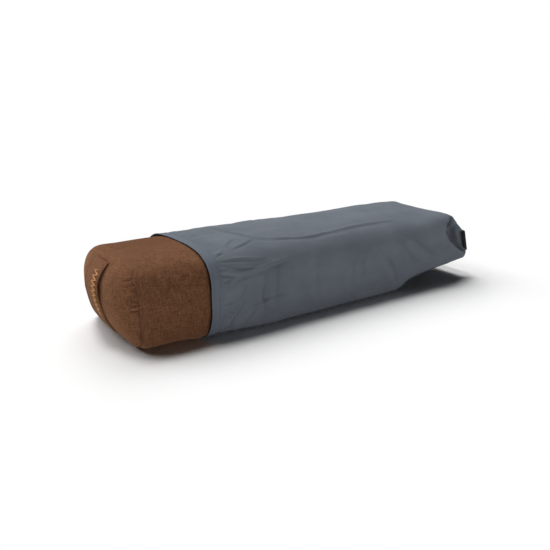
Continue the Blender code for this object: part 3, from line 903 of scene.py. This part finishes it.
def alignSlot(grid):
    # brings rows and columns of the grid to the edges of the zip's opening, and says which they are
    low, high = (backColumn(grid[len(grid) // 2], coverLook[name]) for name in ("slotLow", "slotHigh"))
    first, last = (int(np.argmin(np.abs(grid[:, low, 0] - coverLook[name])))
                   for name in ("slotStart", "slotEnd"))
    grid[first - 1:last + 2, low, 2] = coverLook["slotLow"]
    grid[first - 1:last + 2, high, 2] = coverLook["slotHigh"]
    return first, last, low, high


def coverStitches(grid, normals, nearSeam, farSeam, slot):
    # lines of stitching beside both end seams and round the zip
    look = coverLook["stitch"]
    along = runLength(grid)[:, 0]
    for name, seam, step in (("near", nearSeam, 1), ("far", farSeam, -1)):
        row = seam + step
        while np.abs(along[row] - along[seam]) < coverLook["stitching"][1]:
            row += step
        stitchPiece(f"{name}_seam_stitches", grid[row], normals[row], look)
    first, last, low, high = slot
    for name, column, side in (("lower", low, -1), ("upper", high, 1)):
        line = grid[first:last + 1, column] + np.array([0, 0.0002, side * coverLook["slotStitches"]])
        stitchPiece(f"zip_{name}_stitches", line, normals[first:last + 1, column], look)


makeCover()

# The filling

fill = {
    "pointsRound": 160,
    "shape": dict(coverShape, proud=0.0, lowerFall=0.0),
    "rings": ((22, 0.01, 0.9), (12, 0.9, 1.0)),
    # how much smaller than its solid, rows along it, unevenness (depth, scale, seed, octaves),
    # and how far it lies in
    "liner": (0.0026, 70, (0.0007, 18.0, 12, 2), 0.0),
    "batting": (0.0024, 70, (0.0014, 30.0, 14, 3), 0.0014),
    "core": (0.0, 50, (0.0005, 45.0, 16, 2), 0.0008),
    "coreShape": {"crown": 0.004, "rounding": 0.036},
    "linerWall": 0.0006,
    "battingWall": 0.0085,
    "sleeveEnd": 0.2807,    # x where the batting's sleeve stops and its end pads start
    # the stuffing slit: first and last row, a row to find its column on, its height, half its width
    "slit": (36, 64, 40, 0.075, 0.002),
    "slitStitch": {"length": 0.0048, "gap": 0.0014, "thread": 0.00030, "proud": 0.3},
}


def fillGrid(nodes, name, shape=fill["shape"]):
    smaller, rows, uneven, lower = fill[name]
    form = padForm(nodes, shape, smaller)
    stations = stationsFrom(padRings(fill["rings"]), np.linspace(-1, 1, rows)[1:-1])
    grid = padGrid(form, shape, stations, fill["pointsRound"])
    return movedOut(grid, unevenness(grid, *uneven) - lower)


def makeLiner():
    # a closed cotton bag, with its stuffing slit sewn shut by hand along the back
    grid = fillGrid(["inner_liner"], "liner")
    liner = tubePiece("liner_cotton", grid, materials["cotton"], ringFlat(grid), True, True)
    giveWall(liner, fill["linerWall"])
    standsFor(liner, "inner_liner")
    first, last, trialRow, height, swing = fill["slit"]
    column = backColumn(grid[trialRow], height)
    line = grid[first:last, column].copy()
    line[:, 2] += np.where(np.arange(last - first) % 2, swing, -swing)
    normals = gridNormals(grid)[first:last, column]
    stitchPiece("liner_slit_stitches", line, normals, fill["slitStitch"])


def makeBatting():
    grid = fillGrid(["batting_near_pad", "batting_wrap", "batting_far_pad"], "batting")
    first = int(np.searchsorted(grid[:, 0, 0], -fill["sleeveEnd"]))
    last = len(grid) - first
    for name, rows, node, start, end in (
        ("batting_near_cap", grid[:first], "batting_near_pad", True, False),
        ("batting_sleeve", grid[first:last], "batting_wrap", False, False),
        ("batting_far_cap", grid[last:], "batting_far_pad", False, True),
    ):
        piece = tubePiece(name, rows, materials["batting"], ringFlat(rows), start, end)
        giveWall(piece, fill["battingWall"])
        standsFor(piece, node)


def makeCore():
    # the foam block, cut to the shape of the bolster
    grid = fillGrid(["foam_core"], "core", dict(fill["shape"], **fill["coreShape"]))
    core = tubePiece("foam_block", grid, materials["foam"], ringFlat(grid), True, True)
    outwardFaces(core)
    standsFor(core, "foam_core")


makeLiner()
makeBatting()
makeCore()
print("filling made")

# The handle strap

strap = {
    "width": 0.060,
    "thickness": 0.0022,
    "bow": 0.0006,          # its edges lie back from its middle
    # the middle of its outer face, from its lower seam to its upper one: height and x
    "profile": ((0.0095, -0.2872), (0.0130, -0.2925), (0.0184, -0.2982), (0.0300, -0.3058),
                (0.0453, -0.3130), (0.0700, -0.3196), (0.0874, -0.3222), (0.1045, -0.3214),
                (0.1200, -0.3152), (0.1300, -0.3080), (0.1358, -0.3026), (0.1391, -0.2991)),
    "steps": 72,
    "hemFold": 0.0055,      # from an edge to its stitching
    "hemDip": (0.00035, 0.0007),            # depth and width
    "boxRows": (("upper", -5), ("lower", 4)),   # where it is sewn across, near both ends
    "stitch": {"length": 0.0026, "gap": 0.0010, "thread": 0.00032, "proud": 0.15},
}

# the decorative stitching: how far from the middle of the strap, half its zigzag's width and its pitch,
# the heights where it starts and stops, and how far each long stitch runs past its corner
gold = {"place": -0.0150, "width": 0.0095, "pitch": 0.0085, "from": 0.051, "to": 0.126,
        "past": 0.0016, "stitch": {"gap": 0.0, "thread": 0.0012, "proud": 0.35}}


def strapLine():
    # the middle of the strap's outer face, and the way it faces
    height, x = evenPoints(curveThrough(np.array(strap["profile"]), 12), strap["steps"]).T
    path = np.stack([x, np.zeros_like(x), height], 1)
    slope = np.gradient(path, axis=0)
    return path, unitVectors(np.stack([-slope[:, 2], np.zeros_like(x), slope[:, 0]], 1))


def makeStrap():
    path, outward = strapLine()
    hem = strap["width"] / 2 - strap["hemFold"]
    band = bandPiece("handle_strap_canvas", path, outward, (0, strap["width"], 0), strap["thickness"],
                     materials["canvas"], [(hem, *strap["hemDip"])], strap["bow"])
    standsFor(band, "handle_strap")
    lines = {}
    for name, side in (("front", -1), ("back", 1)):
        lowered = outward * strap["bow"] * (2 * hem / strap["width"]) ** 2
        lines[name] = (path + np.array([0, side * hem, 0]) - lowered, outward)
    for name, row in strap["boxRows"]:
        y = np.linspace(-0.5, 0.5, 30)[:, None] * 2 * hem
        lines[name] = (path[row] + y * np.array([0, 1, 0]), np.repeat(outward[row][None], 30, 0))
    for name, (line, normals) in lines.items():
        stitchPiece(f"strap_{name}_stitches", line, normals, strap["stitch"])
    goldStitching(path, outward)
    print("handle strap made")


def goldStitching(path, outward):
    # a plain zigzag in heavy golden thread, down the front part of the strap
    height = np.linspace(gold["from"], gold["to"], 400)
    x = np.interp(height, path[:, 2], path[:, 0])
    normals = np.stack([np.interp(height, path[:, 2], outward[:, k]) for k in range(3)], 1)
    turn = (height - gold["from"]) / gold["pitch"]
    swing = 2 * np.abs(2 * (turn - np.floor(turn + 0.5))) - 1
    line = np.stack([x, gold["place"] + gold["width"] * swing, height], 1)
    way = np.diff(swing)
    turns = [0, *(np.nonzero(way[1:] * way[:-1] < 0)[0] + 1).tolist(), len(line) - 1]
    parts = []
    for number, (first, last) in enumerate(zip(turns, turns[1:])):
        length = float(np.linalg.norm(line[last] - line[first]))
        past = (line[last] - line[first]) / length * gold["past"]
        look = dict(gold["stitch"], length=length + 0.3 * gold["past"])
        ends = np.array([line[first] - past, line[last] + past])
        name = f"gold_{number}"
        parts.append(stitchPiece(name, ends, normals[[first, last]], look, "goldThread", None))
    selectOnly(*parts)
    bpy.ops.object.join()
    parts[0].name = "strap_golden_zigzag"
    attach(parts[0], "bolster")


makeStrap()

# The zip

zipLook = {
    "pitch": 0.00150,       # from one tooth to the next on the same side
    "toothWidth": 0.00042,
    "toothReach": 0.00155,  # half a tooth's length across the zip
    "toothLean": 0.25,
    "toothSet": 0.62,       # how far a tooth stands in from the coil's inner edge, as a share of its reach
    "tapeSteps": 60,
    "bevel": 0.00022,
    "stopBevel": 0.00012,
    "sharpest": 35,         # degrees; edges that turn further are rounded
}


def zipTape(side):
    low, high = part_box(f"zip_tape_{side}")
    steps = zipLook["tapeSteps"]
    path = np.array([(x, high.y, (low.z + high.z) / 2) for x in np.linspace(low.x, high.x, steps)])
    tape = bandPiece(f"zip_{side}_tape", path, np.repeat([[0.0, 1.0, 0.0]], steps, 0),
                     (0, 0, high.z - low.z), high.y - low.y, materials["tape"])
    standsFor(tape, f"zip_tape_{side}")


def zipTeeth(side, inward, shift):
    # one tooth of the coil, and its copies along the tape
    low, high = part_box(f"zip_coil_{side}")
    pitch, reach = zipLook["pitch"], zipLook["toothReach"]
    shape, faces = stretchedBall(5, 1, (zipLook["toothWidth"], (high.y - low.y) / 2, reach))
    shape[:, 0] += shape[:, 2] * inward * zipLook["toothLean"]
    edge = low.z if inward > 0 else high.z
    middle = np.array([0, (low.y + high.y) / 2, edge + inward * reach * zipLook["toothSet"]])
    places = np.arange(low.x + pitch * (0.6 + shift), high.x - pitch * 0.5, pitch)
    copies = [shape + middle + np.array([x, 0, 0]) for x in places]
    teeth = repeatedPiece(f"zip_{side}_teeth", copies, faces, materials["coil"])
    standsFor(teeth, f"zip_coil_{side}")


def refined(node, name, bevel, body="bolster"):
    # a copy of a hard solid with its doubles merged and its edges softened
    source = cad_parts[node]
    copy = source.copy()
    copy.data = source.data.copy()
    copy.name = name
    copy.parent = None
    copy.matrix_world = source.matrix_world
    bpy.context.scene.collection.objects.link(copy)
    outwardFaces(copy)
    soft = copy.modifiers.new("edges", "BEVEL")
    soft.width = bevel
    soft.segments = 3
    soft.limit_method = "ANGLE"
    soft.angle_limit = math.radians(zipLook["sharpest"])
    applyAll(copy)
    copy.data.shade_smooth()
    copy.data.materials.clear()
    copy.data.materials.append(materials["brass"])
    standsFor(copy, node, body)


def makeZip():
    zipTape("lower")
    zipTape("upper")
    zipTeeth("lower", -1, 0.0)
    zipTeeth("upper", 1, 0.5)
    for node in ("zip_top_stop_upper", "zip_top_stop_lower", "zip_bottom_stop"):
        refined(node, node.replace("zip_", "zip_brass_"), zipLook["stopBevel"])
    refined("zip_slider", "zip_brass_slider", zipLook["bevel"], "zip_slider_body")
    refined("zip_pull_tab", "zip_brass_pull", zipLook["bevel"], "zip_tab_body")
    print("zip made")


makeZip()

# The bag

bagForm = {
    "pointsRound": 264,
    "wall": 0.0008,
    "lowest": 0.0004,
    "topFullness": 3.44, "baseFullness": 6.6, "baseFlat": 1.01,
    "creased": 1.7,         # how strongly the creases below are drawn
    "closest": -0.0012,     # how far a crease may sink towards the bolster
    "settled": (0.0003, 0.003),     # a deeper one sinks by this much more at most, over this depth
    "slackFrom": (0.28, 0.04),      # past here it may sink three times as far
    # unevenness: depth, scale and seed, and the length from the hem over which it grows
    "uneven": (((0.0018, 7.0, 4), 0.03), ((0.0010, 20.0, 6), 0.02)),
    "mouthLift": 0.0013,    # how far the top stands off the bolster at the mouth
    "mouthLiftEnd": 0.05,   # x where it lies on the bolster again
    "underHem": 0.0016,     # how far the cloth lies in under the hem
    "outFromHem": 0.004,    # length over which it comes out from there
    "underTuck": 0.0030,    # length of cloth under the hem
    # rows along it: how many in the first stretch past the hem and its length, then how many up to
    # this x, and how many beyond
    "rows": (46, 0.10, 52, 0.26, 88),
    # x, then the rise of the underside and the fall of the top there
    "stations": (
        (-0.165, 0.0000, 0.0000), (0.264, 0.0000, 0.0000), (0.278, 0.0010, 0.0000), (0.292, 0.0075, 0.0000),
        (0.308, 0.0180, 0.0000), (0.325, 0.0225, 0.0000), (0.345, 0.0255, 0.0000), (0.365, 0.0295, 0.0000),
        (0.410, 0.0330, 0.0010), (0.434, 0.0340, 0.0015), (0.441, 0.0355, 0.0015), (0.460, 0.0370, 0.0035),
        (0.4845, 0.0385, 0.0090),
    ),
    "crispFrom": 0.35,      # x from which the end's edges grow sharper
    "crispTop": 4.5,
    "fuller": 5.9,          # how much sharper the lower edges are past the mouth
    "fullerBy": 0.15,       # over this length
    # how far the mouth's edge lies nearer the handle, across the back of the top and under the base
    "mouthBack": 0.005, "mouthBackAcross": (-0.02, 0.1), "mouthBackUp": (0.11, 0.03),
    "mouthUnder": 0.011, "mouthUnderTop": 0.05, "mouthSlant": 0.12,
    # where the cloth ends, at each height
    "endEdge": ((0.040, 0.4800), (0.050, 0.4835), (0.063, 0.4880), (0.085, 0.4860), (0.100, 0.4830),
                (0.108, 0.4780), (0.118, 0.4660), (0.130, 0.4550), (0.140, 0.4510), (0.152, 0.4500)),
    "endSlant": 0.36,       # x from which the rows slant towards that edge
    "endDent": 0.010,
    "endFlat": 0.95,
    "endWrinkle": (0.0022, 24.0, 8),
    "knob": {"x": 0.431, "y": 0.050, "rise": 0.0035, "length": 0.008, "width": 0.020,
             "above": 0.12},
}

bagHem = {
    "length": 0.020,
    "wall": 0.0016,
    "lowest": 0.0003,
    "proud": 0.0006,
    "flare": 0.0022,        # how far its free edge stands out at the sides
    "flareTop": (0.65, 0.112, 0.02),        # less by this share on top, from this height, over this one
    "flareLength": 0.006,
    "roundEdge": (0.0006, 0.0005),
    "uneven": (0.0006, 26.0, 9),
    "stitchLine": 0.0026,   # from its inner edge
    "stitchDip": (0.0010, 0.0010),
    "puckers": (0.0008, 0.0065, 0.0045),    # depth, spacing, reach
    "stitch": {"length": 0.0027, "gap": 0.0011, "thread": 0.00028, "proud": 0.2},
}

# creases on the front: (x, distance down from the top edge) along it, rise, width, depth beside it
bagCreases = [
    ([(-0.060, -0.185), (-0.049, -0.120), (-0.030, -0.066), (0.000, -0.040)], 0.0011, 0.0044, 0.0016),
    ([(-0.028, -0.064), (0.010, -0.044), (0.070, -0.031), (0.110, -0.036)], 0.0014, 0.0038, 0.0012),
    ([(0.060, -0.029), (0.125, -0.037), (0.200, -0.044), (0.285, -0.040)], 0.0013, 0.0055, 0.0008),
    ([(-0.141, 0.027), (-0.106, 0.038), (-0.070, 0.036), (-0.034, 0.029), (-0.002, 0.022)],
     0.0020, 0.0040, 0.0014),
    ([(-0.036, 0.020), (-0.030, 0.034), (-0.037, 0.066), (-0.036, 0.106)], 0.0034, 0.0052, 0.0022),
    ([(-0.142, 0.067), (-0.120, 0.046), (-0.104, 0.041)], 0.0018, 0.0040, 0.0012),
    ([(-0.137, 0.099), (-0.113, 0.086), (-0.098, 0.070)], 0.0020, 0.0044, 0.0014),
    ([(-0.132, 0.127), (-0.118, 0.110), (-0.101, 0.092)], 0.0026, 0.0050, 0.0018),
    ([(-0.104, 0.132), (-0.086, 0.114), (-0.062, 0.102), (-0.012, 0.096)], 0.0026, 0.0050, 0.0009),
    ([(-0.117, 0.010), (-0.105, 0.019), (-0.071, 0.027)], 0.0010, 0.0036, 0.0008),
    ([(-0.143, 0.000), (-0.100, 0.002), (-0.053, 0.012)], 0.0010, 0.0034, 0.0008),
    ([(-0.106, -0.048), (-0.092, -0.062), (-0.073, -0.077)], 0.0010, 0.0030, 0.0010),
    ([(-0.102, -0.029), (-0.070, -0.044), (-0.039, -0.062)], 0.0010, 0.0032, 0.0010),
    ([(-0.058, 0.112), (-0.063, 0.085), (-0.054, 0.060)], 0.0018, 0.0052, 0.0016),
    ([(0.168, 0.026), (0.152, 0.056), (0.145, 0.094)], 0.0030, 0.0085, 0.0026),
    ([(0.190, 0.030), (0.170, 0.060), (0.168, 0.100)], 0.0026, 0.0075, 0.0022),
    ([(0.232, 0.068), (0.250, 0.092), (0.262, 0.116)], 0.0028, 0.0085, 0.0022),
    ([(0.300, 0.030), (0.330, 0.060), (0.372, 0.084)], 0.0024, 0.0095, 0.0018),
    ([(0.062, 0.030), (0.054, 0.070), (0.060, 0.108)], 0.0020, 0.0085, 0.0018),
]

# short creases that fan out from the hem: where they start and stop down the side, spacing, rise, width,
# shortest, longest, and how far they may lean
gathers = {"from": -0.200, "to": 0.125, "spacing": 0.0075, "rise": 0.0006, "width": 0.0021,
           "shortest": 0.009, "longest": 0.034, "lean": (-0.9, 0.35)}

# the fallen-in corner at the closed end, on the front
hollow = {
    # its open edge: height and x
    "edge": ((0.050, 0.4850), (0.0564, 0.4779), (0.0734, 0.4488), (0.0901, 0.4270), (0.1113, 0.4102),
             (0.1300, 0.4130), (0.1420, 0.4290), (0.1470, 0.4470), (0.152, 0.4640)),
    "depth": 0.037, "atWebbing": 0.013, "fall": 0.50, "riseFrom": 0.60, "steepest": 1.2,
    "profile": ((0, 0.85, 1.05, 1.3), (0, 0.85, 0.97, 1.0)),    # share of the fall, share of the depth
    "deeperUp": ((0.070, 0.125), (0.7, 1.35)),  # between these heights the depth's share grows like this
    "narrowest": 0.030,     # it fades out where its edge and the cloth's end are closer
    "frontFrom": (-0.085, 0.05),
    # folds that sink further: x and height at both ends, depth, width
    "folds": (((0.428, 0.136), (0.424, 0.104), 0.0050, 0.0060),
              ((0.462, 0.122), (0.472, 0.066), 0.0060, 0.0028),
              ((0.447, 0.138), (0.458, 0.080), -0.0070, 0.0040),
              ((0.448, 0.128), (0.440, 0.088), 0.0060, 0.0030)),
}


def bagRings(xs):
    # rings of the bag at each x, before its creases
    look = bagForm
    low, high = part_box("bag_mouth_hem")
    halfWidth, top = (high.y - low.y) / 2, high.z
    table = np.array(look["stations"])
    last = table[-1, 0]
    fine = np.linspace(xs[0], last, 801)
    values = softened(np.stack([np.interp(fine, table[:, 0], column) for column in table[:, 1:].T], 1), 12)
    edgeHeight, edgeX = np.array(look["endEdge"]).T
    rows = []
    for x in xs:
        rise, fall = (float(np.interp(x, fine, column)) for column in values.T)
        crisp = growing(x, look["crispFrom"], last - look["crispFrom"])
        fuller = look["fuller"] * growing(x, low.x, look["fullerBy"])
        shape = dict(look, frontTop=look["topFullness"] + crisp * look["crispTop"],
                     baseFullness=look["baseFullness"] + fuller)
        upper = top - fall + look["mouthLift"] * fading(x, low.x, look["mouthLiftEnd"] - low.x)
        tall = (upper - rise) / 2
        unit = sectionPoints(shape, halfWidth, tall, look["pointsRound"])
        y, z = unit[:, 0] * halfWidth, (upper + rise) / 2 + unit[:, 1] * tall
        share = (max(0.0, x - look["endSlant"]) / (last - look["endSlant"])) ** 1.3
        back = look["mouthBack"] * growing(y, *look["mouthBackAcross"]) * growing(z, *look["mouthBackUp"])
        under = look["mouthUnder"] * np.clip(1 - z / look["mouthUnderTop"], 0, 1) ** 1.6
        slanted = x + share * (np.interp(z, edgeHeight, edgeX) - last)
        rows.append(np.stack([slanted - (back + under) * fading(x, low.x, look["mouthSlant"]), y, z], 1))
    return np.array(rows)


def gatherCreases(sewn):
    # at uneven places down the front and back
    pick = random.Random(11)
    made = []
    place = gathers["from"]
    while place < gathers["to"]:
        length = pick.uniform(gathers["shortest"], gathers["longest"])
        lean = pick.uniform(*gathers["lean"])
        start = (sewn - 0.0015, place)
        end = (start[0] + length, place + lean * length)
        bend = ((start[0] + end[0]) / 2, (start[1] + end[1]) / 2 + pick.uniform(-0.1, 0.1) * length)
        rise = gathers["rise"] * pick.uniform(0.4, 1.2)
        made.append(([start, bend, end], rise, gathers["width"] * pick.uniform(0.8, 1.3), rise * 0.8))
        place += gathers["spacing"] * pick.uniform(0.6, 1.6)
    return made


def bagRelief(grid, sewn):
    x = grid[:, :, 0]
    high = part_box("bag_mouth_hem")[1]
    strength = bagForm["creased"]
    creases = [(line, rise * strength, width, beside * strength)
               for line, rise, width, beside in bagCreases + gatherCreases(sewn)]
    # the back has every second crease, a little further along and down
    behind = [([(along + 0.011, down + 0.006) for along, down in line], *rest)
              for line, *rest in creases[1::2]]
    height = creaseHeight(x, dropFrom(grid, -1, high.z, high.y), creases)
    height = height + creaseHeight(x, dropFrom(grid, 1, high.z, high.y), behind)
    for uneven, over in bagForm["uneven"]:
        height = height + unevenness(grid, *uneven) * growing(x, sewn, over)
    deepest = bagForm["closest"] * (1 + 2 * growing(x, *bagForm["slackFrom"]))
    most, over = bagForm["settled"]
    return np.where(height < deepest, deepest + most * np.tanh((height - deepest) / over), height)


def hollowDepth(grid):
    # how far the front corner has fallen in, with folds that run to the top of the webbing
    look = hollow
    x, y, z = np.moveaxis(grid, 2, 0)
    start, stop = (np.interp(z, *np.array(edge).T) for edge in (look["edge"], bagForm["endEdge"]))
    length = stop - start
    across = np.clip((x - start) / np.maximum(length, 0.012), 0, 1.2)
    depth = look["depth"] * np.interp(z, *look["deeperUp"])
    depth = np.minimum(depth, look["steepest"] * look["fall"] * np.maximum(length, 0.0))
    risen = np.maximum(depth - look["atWebbing"], 0.4 * depth) * growing(across, look["riseFrom"],
                                                                        1 - look["riseFrom"])
    bowl = depth * np.interp(across / look["fall"], *look["profile"]) - risen
    folds = np.zeros_like(x)
    for first, last, sunk, width in look["folds"]:
        folds = folds + sunk * hump(besideSegment(x, z, first, last)[1], width)
    folds = folds * growing(across, 0, 0.3) * fading(across, 0.8, 0.3)
    shown = growing(length, 0, look["narrowest"]) * fading(y, *look["frontFrom"])
    return np.where(x > start, (bowl + folds) * shown, 0.0)


def knobRise(grid):
    # a pinch of cloth that stands up on the top
    look = bagForm["knob"]
    x, y, z = np.moveaxis(grid, 2, 0)
    pinch = hump(x - look["x"], look["length"]) * hump(y - look["y"], look["width"])
    return look["rise"] * pinch * (z > look["above"])


def makeBag():
    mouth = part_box("bag_mouth_hem")[0].x
    sewn = mouth + bagHem["length"]
    nearCount, nearLength, middleCount, middleEnd, farCount = bagForm["rows"]
    xs = np.concatenate([
        np.linspace(sewn - bagForm["underTuck"], sewn + nearLength, nearCount),
        np.linspace(sewn + nearLength, middleEnd, middleCount)[1:],
        np.linspace(middleEnd, bagForm["stations"][-1][0], farCount)[1:],
    ])
    grid = bagRings(xs)
    x = grid[:, :, 0]
    out = bagRelief(grid, sewn) * growing(x, sewn - 0.002, bagForm["outFromHem"])
    out = out - bagForm["underHem"] * fading(x, sewn - 0.001, bagForm["outFromHem"])
    grid = movedOut(grid, out)
    grid[:, :, 1] += hollowDepth(grid)
    grid[:, :, 2] += knobRise(grid)
    grid[:, :, 2] = np.maximum(grid[:, :, 2], bagForm["lowest"])
    wrap = tubePiece("bag_cloth", grid, materials["bagCloth"], ringFlat(grid))
    giveWall(wrap, bagForm["wall"])
    standsFor(wrap, "bag_wrap", "bag")
    makeHem(mouth, sewn)
    makeBagEnd(grid[-1])
    print("bag made")


def makeHem(mouth, sewn):
    # the cloth turned in round the mouth, doubled, with its stitching near the inner edge
    look = bagHem
    xs = np.concatenate([[mouth, mouth + 0.0003, mouth + 0.0009], np.linspace(mouth + 0.002, sewn, 20)])
    grid = bagRings(xs)
    run = xs[:, None] - mouth
    fromStitches = run - look["length"] + look["stitchLine"]
    dip, dipWidth = look["stitchDip"]
    depth, spacing, reach = look["puckers"]
    around = ringFlat(grid)[:, :-1, 1]
    drawn = depth * puckers(around, around.max(), spacing, 21) * hump(fromStitches, reach)
    flare = look["flare"] * lessened(grid[:, :, 2], *look["flareTop"]) * hump(run, look["flareLength"])
    depth, width = look["roundEdge"]
    edge = depth * hump(run, width) + dip * hump(fromStitches, dipWidth)
    grid = movedOut(grid, look["proud"] - edge + flare + unevenness(grid, *look["uneven"]) - drawn)
    grid[:, :, 2] = np.maximum(grid[:, :, 2], look["lowest"])
    hem = tubePiece("bag_hem_cloth", grid, materials["hemCloth"], ringFlat(grid))
    giveWall(hem, look["wall"])
    standsFor(hem, "bag_mouth_hem", "bag")
    row = int(np.argmin(np.abs(fromStitches)))
    stitchPiece("bag_hem_stitches", grid[row], gridNormals(grid)[row], look["stitch"], "greyThread", "bag")


def makeBagEnd(edge):
    # the closed end: it follows the edge of the bag and falls in towards its middle
    middle = edge.mean(0)
    shares = np.concatenate([np.linspace(1.0, 0.9, 8), np.linspace(0.86, 0.06, 26)])[:, None]
    rings = middle + (edge - middle) * shares[:, :, None]
    inside = np.clip(1 - shares / bagForm["endFlat"], 0, 1)
    rings[:, :, 0] -= bagForm["endDent"] * (1 - (1 - inside) ** 2) - 0.0006
    rings[0] = edge * 0.998 + middle * 0.002 + np.array([-0.0025, 0, 0])
    wrinkle = unevenness(rings, *bagForm["endWrinkle"])
    rings[:, :, 0] += wrinkle * np.clip(np.linspace(0, 6, len(rings)), 0, 1)[:, None]
    panel = tubePiece("bag_end_cloth", rings, materials["bagCloth"], endFlat(rings), closedEnd=True)
    giveWall(panel, bagForm["wall"])
    standsFor(panel, "bag_end_panel", "bag")
    size = edge.max(0) - edge.min(0)


makeBag()

# The grab handle at the closed end

grab = {
    "halfReach": 0.1160,    # from the middle to where it is sewn in
    "back": 0.4810,         # x of its sewn ends
    "rise": 0.0220,
    "fullness": 5.0,
    "width": 0.047,
    "thickness": 0.0019,
    "middle": 0.0800,
    "lean": -0.30,          # its upper edge stands back
    "steps": 84,
}


def makeGrab():
    turn = np.linspace(-math.pi / 2, math.pi / 2, 2001)
    y = np.sign(np.sin(turn)) * np.abs(np.sin(turn)) ** (2 / grab["fullness"])
    x = np.cos(turn) ** (2 / grab["fullness"])
    outline = np.stack([grab["back"] + grab["rise"] * x, grab["halfReach"] * y], 1)
    x, y = evenPoints(outline, grab["steps"]).T
    path = np.stack([x, y, np.full_like(x, grab["middle"])], 1)
    outward = unitVectors(np.stack([np.gradient(y), -np.gradient(x), np.zeros_like(x)], 1))
    tall = Vector((grab["lean"], 0, 1)).normalized() * grab["width"]
    band = bandPiece("bag_grab_webbing", path, outward, tall, grab["thickness"], materials["webbing"])
    standsFor(band, "bag_grab_handle", "bag")
    print("grab handle made")


makeGrab()
